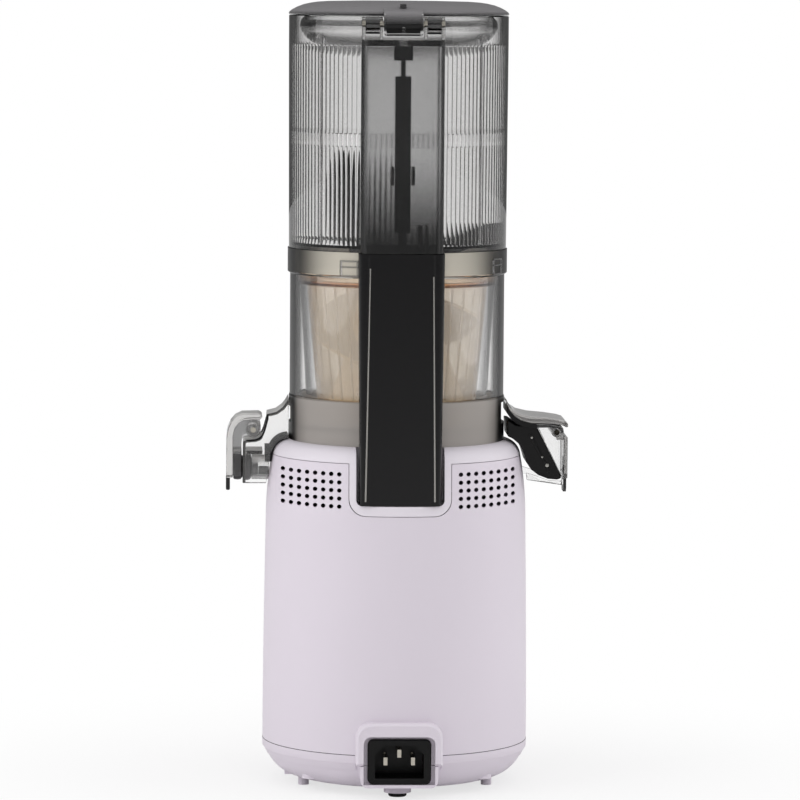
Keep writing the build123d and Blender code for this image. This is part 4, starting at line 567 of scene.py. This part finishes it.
def pressFlutes(bm, h, roundHeight):
    # Pushes the inner wall inwards in round-topped flutes, deeper along the level band.
    pitch = 2 * math.pi / h["flutes"]
    innerTop = (h["topRadius"] - h["wall"]) * mm
    low, high = (h["fluteFoot"] + 0.2) * mm, (h["fluteTop"] + 0.01) * mm
    for vert in bm.verts:
        radius = math.hypot(vert.co.x, vert.co.y)
        if low < vert.co.z < high and radius < innerTop + 0.2 * mm:
            angle = math.atan2(vert.co.y, vert.co.x)
            across = ((angle / pitch) % 1.0 - 0.5) * 2
            left = (h["fluteTop"] * mm - vert.co.z) / (roundHeight * mm)
            width = math.sqrt(max(1 - (1 - min(left, 1.0)) ** 2, 0.0))
            rise = max(1 - (across / width) ** 2, 0.0) if width > 0.01 else 0.0
            inBand = h["bandFoot"] * mm < vert.co.z < h["bandTop"] * mm
            deep = h["bandDepth"] if inBand else h["fluteDepth"]
            shrink = 1 - deep * mm * rise / radius
            vert.co.x *= shrink
            vert.co.y *= shrink


def cutNotch(bm, h):
    # Cuts the notch for the hinge out of the rear of the rim and closes the cut wall.
    half, foot, rear = h["notchHalf"] * mm, h["notchFoot"] * mm, h["notchRear"] * mm
    notch = [v for v in bm.verts if v.co.y > rear and v.co.z > h["notchBelow"] * mm]
    near = list({f for v in notch for f in v.link_faces})
    near += list({e for f in near for e in f.edges}) + list({v for f in near for v in f.verts})
    for spot, normal in (((half, 0, 0), (1, 0, 0)), ((-half, 0, 0), (-1, 0, 0)), ((0, 0, foot), (0, 0, 1))):
        cut = bmesh.ops.bisect_plane(bm, geom=near, plane_co=spot, plane_no=normal, dist=1e-7)
        near = [g for g in set(near + cut["geom"]) if g.is_valid]
    gone = []
    for face in bm.faces:
        middle = face.calc_center_median()
        if abs(middle.x) < half and middle.y > rear and middle.z > foot:
            gone.append(face)
    bmesh.ops.delete(bm, geom=gone, context="FACES")
    rim = [e for e in bm.edges if e.is_boundary]
    limit = (h["topRadius"] - h["wall"] / 2) * mm
    loops = []
    for outer in (True, False):
        loops += [e for e in rim if all((math.hypot(v.co.x, v.co.y) > limit) == outer for v in e.verts)]
    bmesh.ops.bridge_loops(bm, edges=loops)


def makeHopper(h):
    # Fluted clear hopper with four bayonet lugs on its spigot.
    bm = bmesh.new()
    roundHeight = math.pi * (h["topRadius"] - h["wall"]) / h["flutes"]
    spinProfile(bm, hopperOutline(h, roundHeight), h["flutes"] * h["stepsPerFlute"])
    bmesh.ops.remove_doubles(bm, verts=bm.verts, dist=weld)
    pressFlutes(bm, h, roundHeight)
    cutNotch(bm, h)
    root, foot, top = h["spigotRadius"] + 0.02, h["lugFoot"], h["lugFoot"] + h["lugHeight"]
    lug = [(root, foot), (h["lugRadius"], foot + 0.3), (h["lugRadius"], top - 0.3), (root, top)]
    for i in range(h["lugs"]):
        spinProfile(bm, lug, 6, h["lugStart"] + 360 / h["lugs"] * i, h["lugSweep"])
    closeEnds(bm)
    makePiece(bm, "flutedHopper", "hopper_clear", "hopper_set", "hopper")


def makeHopperRibs(h):
    # Two inner ribs that stiffen the hopper's wall, each with a hook at its top.
    bm = bmesh.new()
    inner = h["footRadius"] - h["wall"] + 0.15
    half = h["ribWidth"] / 2
    outline = [(-half, h["fluteFoot"]), (half, h["fluteFoot"])] + arc((0.0, h["ribTop"]), half, 0, 180, 6)
    bend = (-h["hook"], h["ribTop"] - 1.0)
    hook = arc(bend, h["hook"] + half, 0, 180, 10) + arc(bend, h["hook"] - half, 180, 0, 10)
    for side in (1, -1):
        rib = bmesh.new()
        extrudeOutline(rib, "YZ", outline, inner - h["ribDepth"], inner)
        extrudeOutline(rib, "YZ", [(side * y, z) for y, z in hook], inner - h["ribDepth"] + 0.2, inner)
        addTurned(bm, rib, 90 - side * (90 - h["ribAngle"]))
    makePiece(bm, "hopperRibs", "lid_smoke", "hopper_set")


makeHopper(hopperShape)
makeHopperRibs(hopperShape)
print("hopper made")

channelShape = {
    "half": 21.0, "rear": 66.6, "corner": 5.0, "wall": 2.2, "foot": 279.5, "top": 387.2, "roof": 3.0,
    "frontOuter": 52.9, "frontInner": 53.75, "roofFront": 56.9, "slotHalf": 2.2, "slotFront": 56.8,
    "slotRear": 63.0,
    "earInner": 10.4, "earOuter": 21.0, "earFront": 58.2, "pinY": 61.0, "pinZ": 395.2, "knuckle": 3.65,
    "knuckleBore": 2.8, "bushRadius": 2.7, "bushBore": 1.55,
    "guideHalf": 4.8, "guideFoot": 377.0, "guideWall": 1.3, "bumpFoot": 314.0, "bumpHeight": 9.5,
}


def makeChannel(c):
    # Smoke cover over the upper safety rod, with a slot in its roof for the rod, two bumps inside that
    # the rod runs between, and a guide behind the rod's head.
    bm = bmesh.new()
    half, front, r, inside = c["half"], c["frontInner"], c["corner"], c["corner"] - c["wall"]
    x, y = half - r, c["rear"] - r
    outer = [(-half, c["frontOuter"])] + arc((-x, y), r, 180, 90, 8) + arc((x, y), r, 90, 0, 8)
    outer += [(half, c["frontOuter"])]
    inner = [(x + inside, front)] + arc((x, y), inside, 0, 90, 8) + arc((-x, y), inside, 90, 180, 8)
    inner += [(-x - inside, front)]
    roofFoot = c["top"] - c["roof"]
    extrudeOutline(bm, "XY", outer + inner, c["foot"], roofFoot, 0.3, 2)
    slot = [(c["slotHalf"], c["slotFront"]), (c["slotHalf"], c["slotRear"]),
            (-c["slotHalf"], c["slotRear"]), (-c["slotHalf"], c["slotFront"])]
    roof = arc((0, 0), c["roofFront"], 68.3, 87.5, 6) + slot + arc((0, 0), c["roofFront"], 92.5, 111.7, 6)
    extrudeOutline(bm, "XY", outer + roof, roofFoot + 0.02, c["top"], 0.4, 2)
    bump = (c["bumpFoot"], c["bumpFoot"] + c["bumpHeight"])
    for side in (-1, 1):
        makeBox(bm, sideSpan(side, 4.4, 6.2), (59.2, c["rear"] - c["wall"]), bump, 0.5)
    makePiece(bm, "channelCover", "channel_smoke", "hopper_set", "rod_channel")
    bm = bmesh.new()
    back = c["rear"] - c["wall"] - 0.1
    makeBox(bm, (-c["guideHalf"], c["guideHalf"]), (back - c["guideWall"], back),
            (c["guideFoot"], roofFoot + 0.02), 0.3)
    makePiece(bm, "rodGuideTop", "column_smoke", "hopper_set")


def makeEars(c):
    # Clear hinge ears on the channel's roof, and the clear knuckles between them on black bushes.
    bm = bmesh.new()
    ear = [(c["earFront"], c["top"]), (c["pinY"] + c["knuckle"], c["top"])]
    ear += arc((c["pinY"], c["pinZ"]), c["knuckle"], 0, 180, 16) + [(57.3, c["pinZ"] - 2)]
    for side in (-1, 1):
        for near, far in ((c["earInner"], c["earInner"] + 1.6), (c["earOuter"] - 1.8, c["earOuter"])):
            low, high = sideSpan(side, near, far)
            extrudeOutline(bm, "YZ", ear, low, high, 0.4, 3)
    makePiece(bm, "hingeEars", "hopper_clear", "hopper_set")
    bm = bmesh.new()
    core = bmesh.new()
    for side in (-1, 1):
        low, high = sideSpan(side, c["earInner"] + 1.7, c["earOuter"] - 1.9)
        addAlongX(bm, strip(c["knuckleBore"], c["knuckle"], low, high), c["pinY"], c["pinZ"])
        addAlongX(core, strip(c["bushBore"], c["bushRadius"], low, high), c["pinY"], c["pinZ"])
        makeBox(core, (low, high), (61.5, 63.2), (c["pinZ"] - 4.9, c["pinZ"] - 3.8), 0.2)
    makePiece(bm, "hingeKnuckles", "hopper_clear", "hopper_set")
    makePiece(core, "hingeBushes", "rod_plastic", "hopper_set")


guideShape = {
    "block": [(57.1, 279.0), (58.9, 279.0), (58.9, 283.4), (58.5, 284.0), (57.1, 284.0)],
    "blockStart": 71.5, "blockSweep": 37.0,
    "pin": [(57.3, 282.0), (60.2, 282.0), (60.2, 293.4), (59.8, 293.8), (57.3, 293.8)],
    "pins": [(98.2, 1.6), (101.6, 0.8)],
}


def makeRodGuide(g):
    # Black guide at the foot of the channel, behind the rod, and two steel pins set in its face that are
    # painted highlights, standing for the lamps' bright lines on the edges there.
    bm = bmesh.new()
    spinProfile(bm, g["block"], 24, g["blockStart"], g["blockSweep"])
    closeEnds(bm)
    makePiece(bm, "rodGuideBlock", "rod_plastic", "hopper_set")
    # Painted highlights: steel pins where bright lines lie.
    bm = bmesh.new()
    for start, sweep in g["pins"]:
        spinProfile(bm, g["pin"], 3, start, sweep)
    closeEnds(bm)
    makePiece(bm, "rodGuideHighlightPins", "screw_steel", "hopper_set")


latchShape = {
    "inner": 56.95, "outer": 57.5, "start": 57.2, "sweep": 10.6, "count": 4, "foot": 266.9, "top": 275.2,
    "bar": 0.8, "middleFoot": 4.6, "middleTop": 5.2, "post": 1.0,
}


def makeLatches(w):
    # Smoke frames on the bowl's ring, round the windows that the hopper's lugs turn into.
    bm = bmesh.new()
    lower = (w["foot"], w["foot"] + w["bar"])
    middle = (w["foot"] + w["middleFoot"], w["foot"] + w["middleTop"])
    upper = (w["top"] - w["bar"], w["top"])
    for turn in range(w["count"]):
        start = w["start"] + 360 / w["count"] * turn
        for low, high in (lower, middle, upper):
            spinProfile(bm, strip(w["inner"], w["outer"], low, high), 8, start, w["sweep"])
        for at in (start, start + w["sweep"] - w["post"]):
            spinProfile(bm, strip(w["inner"], w["outer"], lower[1], upper[0]), 2, at, w["post"])
    closeEnds(bm)
    makePiece(bm, "ringLatches", "lid_smoke", "chamber")


highlightBeadShape = {
    "y": 66.35, "footRadius": 0.5, "topRadius": 0.4,
    "ends": [((16.1, 272.0), (17.8, 153.5)), ((-16.0, 268.0), (-17.4, 153.5))],
}


def makeColumnHighlightBeads(b):
    # Painted highlights: fine raised steel beads that stand for the lamps' bright lines where the column's
    # flat back meets its rounded corners, given as (x, z) of both ends.
    bm = bmesh.new()
    for top, foot in b["ends"]:
        bead = bmesh.ops.create_cone(bm, cap_ends=True, segments=12, radius1=b["footRadius"] * mm,
                                     radius2=b["topRadius"] * mm, depth=(top[1] - foot[1]) * mm)["verts"]
        lean = Vector((top[0] - foot[0], 0, top[1] - foot[1])).to_track_quat("Z", "Y").to_matrix()
        bmesh.ops.rotate(bm, verts=bead, cent=(0, 0, 0), matrix=lean)
        middle = ((top[0] + foot[0]) / 2 * mm, b["y"] * mm, (top[1] + foot[1]) / 2 * mm)
        bmesh.ops.translate(bm, verts=bead, vec=middle)
    makePiece(bm, "columnHighlightBeads", "screw_steel", "chamber")


makeChannel(channelShape)
makeEars(channelShape)
makeRodGuide(guideShape)
makeLatches(latchShape)
makeColumnHighlightBeads(highlightBeadShape)
print("channel and column dressed")

lidShape = {
    "section": [
        (0.1, 406.9), (20.0, 406.8), (36.0, 406.5), (42.0, 406.1), (46.0, 405.5), (49.4, 404.7),
        (52.6, 403.5), (55.2, 402.1), (56.6, 401.0), (57.0, 400.2), (56.7, 399.6), (53.8, 399.6),
        (50.0, 401.6), (46.0, 402.9), (36.0, 404.0), (0.1, 404.3),
    ],
    "tongue": [
        (54.0, 400.1), (54.0, 403.0), (57.5, 402.9), (60.4, 401.6), (62.8, 399.4), (64.2, 396.9),
        (64.6, 395.4), (62.8, 395.6), (61.9, 397.2), (60.4, 398.2), (57.6, 399.9),
    ],
    "barrel": [(1.55, -9.8), (3.3, -9.8), (3.5, -9.5), (3.5, 9.5), (3.3, 9.8), (1.55, 9.8)],
    "tongueHalf": 10.0, "pinY": 61.0, "pinZ": 395.2, "beadWidth": 1.1, "beadFoot": 389.3, "beadTop": 400.4,
    "beadFront": 63.3, "beadRear": 65.2,
}


def makeLid(d):
    # Domed smoke lid with its hinge tongue and a tab on top, the black barrel on the pin, and the clear
    # bead round the tongue's end.
    bm = bmesh.new()
    spinProfile(bm, d["section"], 144)
    extrudeOutline(bm, "YZ", d["tongue"], -d["tongueHalf"], d["tongueHalf"], 0.3, 2)
    makeBox(bm, (-1.6, 1.6), (52.0, 57.6), (400.6, 405.6), 0.4)
    makePiece(bm, "lidShell", "lid_smoke", "lid_set", "lid")
    bm = bmesh.new()
    addAlongX(bm, d["barrel"], d["pinY"], d["pinZ"])
    makeBox(bm, (-8.6, 8.6), (60.4, 63.2), (389.8, 394.0), 0.3)
    makePiece(bm, "lidBarrel", "rod_plastic", "lid_set")
    bm = bmesh.new()
    outer, width, foot = d["tongueHalf"], d["beadWidth"], d["beadFoot"]
    depth = (d["beadFront"], d["beadRear"])
    for low, high in ((-outer, width - outer), (outer - width, outer)):
        makeBox(bm, (low, high), depth, (foot + 0.8, d["beadTop"]), 0.45)
    makeBox(bm, (-outer + 0.5, outer - 0.5), depth, (foot, foot + 1.3), 0.5)
    makeBox(bm, (-0.8, 0.8), (d["beadFront"], d["beadRear"] - 0.4), (foot + 1.2, 393.6), 0.3)
    makePiece(bm, "tongueRim", "spout_clear", "lid_set")


dishShape = {
    "outer": [
        (0.1, 377.6), (14.0, 378.0), (26.0, 379.2), (36.0, 381.2), (43.0, 384.0), (47.6, 387.2),
        (50.4, 391.0), (51.2, 394.0), (50.6, 396.8), (48.4, 399.0), (45.4, 401.0),
    ],
    "inner": [
        (44.2, 400.0), (47.0, 398.2), (49.0, 396.2), (49.6, 394.0), (48.8, 391.4), (46.4, 388.4),
        (42.2, 385.5), (35.6, 382.8), (25.8, 380.8), (14.0, 379.6), (0.1, 379.2),
    ],
}


def makeDish(d):
    # Shallow clear dish under the lid that keeps splashes off the hopper's rim.
    bm = bmesh.new()
    spinProfile(bm, d["outer"] + d["inner"], 144)
    makePiece(bm, "lidDish", "dish_clear", "lid_set", "lid_dish")


makeLid(lidShape)
makeDish(dishShape)
print("lid made")

strainerShape = {
    "foot": 189.3, "cupTop": 202.0, "top": 261.0, "footRadius": 40.0, "topRadius": 45.6, "wall": 1.4,
    "ribs": 36, "ribDepth": 0.5, "ribHalf": 0.4, "sieveFoot": 203.5, "sieveTop": 260.6,
    "sieveFootRadius": 47.2, "sieveTopRadius": 50.4, "sieveWall": 0.9,
}


def makeStrainer(t):
    # Amber basket with a flange at its foot and upright inner ribs.
    bm = bmesh.new()
    cup, top, wall, foot = t["footRadius"], t["topRadius"], t["wall"], t["foot"]
    spinProfile(bm, [
        (cup - 1.2, foot), (cup + 5.6, foot), (cup + 6.0, foot + 0.4), (cup + 6.0, foot + 1.6),
        (cup + wall + 1.0, foot + 3.0), (cup + wall, t["cupTop"]), (top + wall, t["top"]), (top, t["top"]),
        (cup, t["cupTop"]),
    ], 144)
    corners = [(cup - t["ribDepth"], t["cupTop"]), (cup + 0.2, t["cupTop"]), (top + 0.2, t["top"] - 1),
               (top - t["ribDepth"], t["top"] - 1)]
    for i in range(t["ribs"]):
        rib = bmesh.new()
        extrudeOutline(rib, "XZ", corners, -t["ribHalf"], t["ribHalf"])
        addTurned(bm, rib, 360 / t["ribs"] * (i + 0.5))
    makePiece(bm, "strainerBasket", "strainer_gold", "chamber", "strainer")


def makeSieve(t):
    # Pale clear cone round the basket.
    bm = bmesh.new()
    spinProfile(bm, [
        (t["sieveFootRadius"] - t["sieveWall"], t["sieveFoot"]), (t["sieveFootRadius"], t["sieveFoot"]),
        (t["sieveTopRadius"], t["sieveTop"]), (t["sieveTopRadius"] - t["sieveWall"], t["sieveTop"]),
    ], 144)
    makePiece(bm, "sieveCone", "dish_clear", "chamber")


wingShape = {
    "hub": [(3.0, 270.2), (15.0, 270.2), (15.0, 276.0), (13.0, 281.0), (9.0, 284.0), (3.0, 285.0)],
    "blade": [
        (9, 276), (25, 276), (26.6, 290), (27.6, 304), (27.2, 314), (25.4, 322), (22.4, 328),
        (19.6, 330), (16, 328.4), (13, 322), (11, 310), (9.4, 292),
    ],
    "bladeHalf": 1.8, "bladeTurn": 8,
    "sweep": [
        (8, 274), (8, 281), (20, 286), (34, 291.6), (44, 292.4), (47, 290.4), (47, 285), (44, 281),
        (30, 276.4), (16, 273),
    ],
    "sweepHalf": 2.4, "sweepTurn": 186,
}


def makeWing(g):
    # Feeding wing on the auger: a low sweep to one side and a tall blade to the other.
    bm = bmesh.new()
    spinProfile(bm, g["hub"], 48)
    for outline, half, turn in ((g["blade"], g["bladeHalf"], g["bladeTurn"]),
                                (g["sweep"], g["sweepHalf"], g["sweepTurn"])):
        arm = bmesh.new()
        extrudeOutline(arm, "XZ", outline, -half, half, 0.9, 3)
        addTurned(bm, arm, turn)
    makePiece(bm, "feedingWing", "wing_black", "auger_set", "feeding_wing")


makeStrainer(strainerShape)
makeSieve(strainerShape)
makeWing(wingShape)
print("strainer and wing made")

juiceShape = {
    "half": 12.0, "wall": 2.0, "tubeZ": 164.6, "tubeOuter": 6.4, "tubeInner": 4.8, "tubeFrom": 66.0,
    "tubeTo": 75.2, "pivotX": 74.5, "pivotZ": 184.9, "pinRadius": 1.45, "cheekBoss": 3.8, "leverHub": 3.2,
    "leverHalf": 9.0, "shelfFoot": 172.0, "shelfTop": 174.3, "lipSpan": (11.2, 12.15),
    "crown": [(56.2, 201.8), (57.6, 199.2), (59.4, 196.9), (62.6, 194.5), (67.4, 193.3)],
    "neck": [(67.5, 190.6), (69.1, 184.7), (70.2, 182.2)],
    "drop": [(71.7, 180.8), (73.6, 180.1), (78.2, 179.7), (79.3, 179.2), (79.8, 178.0), (79.9, 157.2)],
    "shoulder": [
        (67.7, 157.2), (66.9, 164.0), (65.6, 172.0), (64.2, 175.8), (62.0, 178.8), (59.4, 180.3),
        (56.2, 180.9),
    ],
    "crownUnder": [(67.4, 192.0), (65.4, 191.9), (62.0, 192.9), (58.4, 195.4), (56.2, 198.4)],
    "dropInside": [
        (78.3, 157.2), (78.3, 177.4), (77.9, 178.1), (73.2, 178.5), (70.8, 179.3), (69.3, 180.9),
    ],
    "lipUnder": [
        (78.2, 178.9), (73.2, 179.2), (71.0, 180.0), (69.3, 181.8), (68.2, 184.4), (66.6, 190.4),
        (66.5, 193.0),
    ],
    "rim": [
        (69.6, 191.4), (70.2, 192.7), (71.6, 193.4), (80.2, 193.2), (83.6, 191.6), (86.1, 188.7),
        (87.7, 184.8), (88.3, 180.6), (88.4, 159.6), (85.0, 159.6), (84.9, 181.2), (84.1, 185.1),
        (82.1, 188.0), (79.4, 189.6), (74.5, 190.0), (70.8, 190.0),
    ],
    "web": [
        (84.95, 160.6), (84.9, 181.2), (84.05, 185.0), (82.05, 187.9), (79.4, 189.55), (74.5, 189.95),
        (71.2, 189.2), (70.6, 187.0), (70.7, 183.6), (72.4, 181.6), (78.6, 181.2), (80.2, 180.2),
        (80.5, 177.8), (80.5, 160.6),
    ],
    "plug": [
        (0.1, 84.7), (6.0, 84.7), (6.7, 84.2), (6.9, 82.4), (6.7, 80.8), (5.8, 80.2), (5.6, 79.9),
        (6.4, 79.5), (7.0, 78.6), (7.1, 77.2), (6.7, 76.0), (5.6, 75.4), (4.4, 75.2), (4.3, 72.6),
        (3.6, 71.8), (0.1, 71.8),
    ],
    "nib": [(0.05, 66.2), (2.2, 66.2), (2.2, 71.2), (1.8, 71.6), (0.05, 71.6)],
    "nibZ": 162.9,
}


def pinBoss(bore, radius, low, high):
    # Section of a boss on a pin, with both ends' rims broken.
    rim = 0.3
    return [(bore, low), (radius - rim, low), (radius, low + rim),
            (radius, high - rim), (radius - rim, high), (bore, high)]


def makeJuiceSpout(j):
    # Hood, its two cheeks with the bosses for the cap's pin, and the tube that the cap closes.
    bm = bmesh.new()
    outer = j["crown"] + j["neck"] + j["drop"] + j["shoulder"]
    cheekInner = j["half"] - j["wall"]
    for side in (-1, 1):
        low, high = sideSpan(side, cheekInner, j["half"])
        extrudeOutline(bm, "XZ", outer, low, high, 0.4, 2)
        low, high = sideSpan(side, j["leverHalf"] + 0.4, j["half"])
        addAlongY(bm, pinBoss(j["pinRadius"], j["cheekBoss"], low, high), j["pivotX"], j["pivotZ"])
    # Between the cheeks the wall is open beside the pin, where the lever's tail swings in.
    for outline in (j["crown"] + j["crownUnder"], [(70.4, 181.9)] + j["drop"] + j["dropInside"]):
        extrudeOutline(bm, "XZ", outline, -cheekInner, cheekInner, 0.3, 2)
    makeBox(bm, (69.6, 78.2), (-cheekInner, cheekInner), (j["shelfFoot"], j["shelfTop"]), 0.3)
    bore, tube, start, end = j["tubeInner"], j["tubeOuter"], j["tubeFrom"], j["tubeTo"]
    addAlongX(bm, [(bore, start), (tube, start), (tube, end - 0.4), (tube - 0.4, end), (bore + 0.4, end),
                   (bore, end - 0.4)], 0, j["tubeZ"])
    makePiece(bm, "juiceHood", "spout_clear", "chamber", "juice_spout")


def makeHoodLips(j):
    # Black silicone lips along the cheeks' edge.
    bm = bmesh.new()
    lip = j["crown"][-1:] + j["neck"] + j["drop"][:3] + j["lipUnder"]
    for side in (-1, 1):
        low, high = sideSpan(side, *j["lipSpan"])
        extrudeOutline(bm, "XZ", lip, low, high, 0.15, 2)
    makePiece(bm, "hoodLips", "flap_silicone", "chamber")


def makeCapLever(j):
    # Bent clear lever: a thick outer rim, the hub on the pin and a cross plate, with two smoke webs
    # inside the bend.
    bm = bmesh.new()
    half = j["leverHalf"]
    extrudeOutline(bm, "XZ", j["rim"], -half, half, 0.6, 3)
    addAlongY(bm, pinBoss(j["pinRadius"], j["leverHub"], -half, half), j["pivotX"], j["pivotZ"])
    makeBox(bm, (80.4, 85.0), (-half, half), (j["shelfFoot"], j["shelfTop"]), 0.3)
    makePiece(bm, "capLever", "spout_clear", "juice_cap", "cap_lever")
    bm = bmesh.new()
    for low, high in ((-half + 0.6, -half + 1.8), (half - 1.8, half - 0.6)):
        extrudeOutline(bm, "XZ", j["web"], low, high, 0.3, 2)
    makePiece(bm, "leverWeb", "lid_smoke", "juice_cap")


def makeCapTab():
    # Black tab to lift the cap by.
    bm = bmesh.new()
    makeBox(bm, (86.4, 88.5), (-6.5, 6.5), (153.0, 159.8), 0.7)
    makePiece(bm, "capTab", "tab_plastic", "juice_cap")


def makePlug(j):
    # Grey silicone plug in two lobes with a nose in the tube.
    bm = bmesh.new()
    addAlongX(bm, j["plug"], 0, j["tubeZ"] + 0.2, 64)
    makePiece(bm, "capPlug", "plug_silicone", "juice_cap", "cap_plug")


def makeNib(j):
    # Black silicone nib in the outlet tube that breaks the last drops off.
    bm = bmesh.new()
    addAlongX(bm, j["nib"], 0, j["nibZ"], 32)
    makePiece(bm, "tubeNib", "flap_silicone", "chamber")


pulpShape = {
    "half": 18.0, "cheekWall": 2.2, "flapHalf": 15.4,
    "roof": [
        (-56.2, 201.8), (-57.6, 199.0), (-59.6, 196.6), (-62.8, 194.4), (-68.7, 193.0), (-77.8, 192.2),
        (-84.4, 191.2), (-87.2, 190.4), (-88.4, 189.2), (-88.5, 187.5), (-87.3, 187.3), (-86.4, 187.9),
        (-84.0, 188.7), (-79.8, 189.2), (-69.0, 189.5), (-64.0, 190.9), (-60.4, 193.3), (-58.0, 196.1),
        (-56.2, 199.4),
    ],
    "window": [
        (-71.9, 188.9), (-79.4, 188.6), (-84.2, 187.8), (-86.0, 186.4), (-86.1, 182.6), (-86.1, 161.2),
        (-85.5, 161.2),
    ],
    "bar": [
        (-66.8, 163.6), (-67.2, 159.9), (-86.1, 157.2), (-86.1, 160.6), (-84.4, 159.4), (-78.6, 159.7),
        (-73.0, 161.7),
    ],
    "flap": [
        (-72.2, 187.9), (-85.3, 162.0), (-85.2, 160.6), (-83.4, 159.8), (-78.4, 160.2), (-73.3, 162.2),
        (-69.6, 165.0), (-67.2, 168.6), (-65.4, 174.6), (-63.4, 178.2), (-60.0, 181.0), (-57.2, 182.4),
        (-56.8, 190.6), (-58.6, 190.2), (-61.4, 188.4), (-66.0, 187.9),
    ],
    "liner": [
        (-56.6, 199.0), (-58.2, 195.8), (-60.7, 192.9), (-64.2, 190.5), (-69.1, 189.2), (-79.6, 188.9),
        (-83.6, 188.3), (-85.9, 186.9), (-86.3, 184.6), (-85.0, 184.4), (-84.6, 186.0), (-82.8, 186.9),
        (-79.0, 187.2), (-69.4, 187.0), (-64.8, 187.6), (-61.2, 189.4), (-58.3, 192.2), (-56.6, 194.6),
    ],
    "flapRib": [(-68.2, 183.4), (-69.4, 183.9), (-79.6, 164.4), (-78.4, 163.8)],
    "rivets": [(-69.7, 181.8, 0.7), (-75.2, 171.7, 0.6), (-77.8, 167.4, 1.1)],
    "hingeX": -82.6, "hingeZ": 184.6, "pinRadius": 1.45, "knuckle": 2.6,
}


def makePulpSpout(p):
    # Roof with a rounded lip, over two clear cheeks with a bar along their foot. The cheeks close what
    # the flap leaves open.
    bm = bmesh.new()
    extrudeOutline(bm, "XZ", p["roof"], -p["half"], p["half"], 0.4, 3)
    makePiece(bm, "pulpRoof", "spout_clear", "chamber")
    bm = bmesh.new()
    for side in (-1, 1):
        low, high = sideSpan(side, p["half"] - p["cheekWall"], p["half"])
        for outline in (p["window"], p["bar"]):
            extrudeOutline(bm, "XZ", outline, low, high, 0.4, 2)
    makePiece(bm, "pulpCheeks", "spout_clear", "chamber", "pulp_spout")


def makePulpDoor(p):
    # Clear door with a folded top and its knuckle on the pin.
    bm = bmesh.new()
    span = (-p["flapHalf"], p["flapHalf"])
    makeBox(bm, (-88.5, -86.5), span, (160.4, 182.2), 0.6)
    makeBox(bm, (-86.6, -82.6), span, (180.6, 182.2), 0.4)
    addAlongY(bm, pinBoss(p["pinRadius"], p["knuckle"], *span), p["hingeX"], p["hingeZ"])
    makePiece(bm, "pulpDoorPlate", "spout_clear", "pulp_gate", "pulp_door")


def makeFlap(p):
    # Thick black silicone flap with the liner under the roof, its retaining rib and three rivets.
    bm = bmesh.new()
    extrudeOutline(bm, "XZ", p["flap"], -p["flapHalf"], p["flapHalf"], 0.7, 3)
    extrudeOutline(bm, "XZ", p["liner"], -15.6, 17.6, 0.3, 2)
    extrudeOutline(bm, "XZ", p["flapRib"], 15.2, 16.0, 0.25, 2)
    makePiece(bm, "pulpFlap", "flap_silicone", "chamber", "pulp_flap")
    bm = bmesh.new()
    for x, z, radius in p["rivets"]:
        addAlongY(bm, [(0.05, 15.9), (radius, 15.9), (radius * 0.8, 16.3), (0.05, 16.4)], x, z, 24)
    makePiece(bm, "flapRivets", "screw_steel", "chamber")


makeJuiceSpout(juiceShape)
makeHoodLips(juiceShape)
makeCapLever(juiceShape)
makeCapTab()
makePlug(juiceShape)
makeNib(juiceShape)
makePulpSpout(pulpShape)
makePulpDoor(pulpShape)
makeFlap(pulpShape)
print("spouts made")
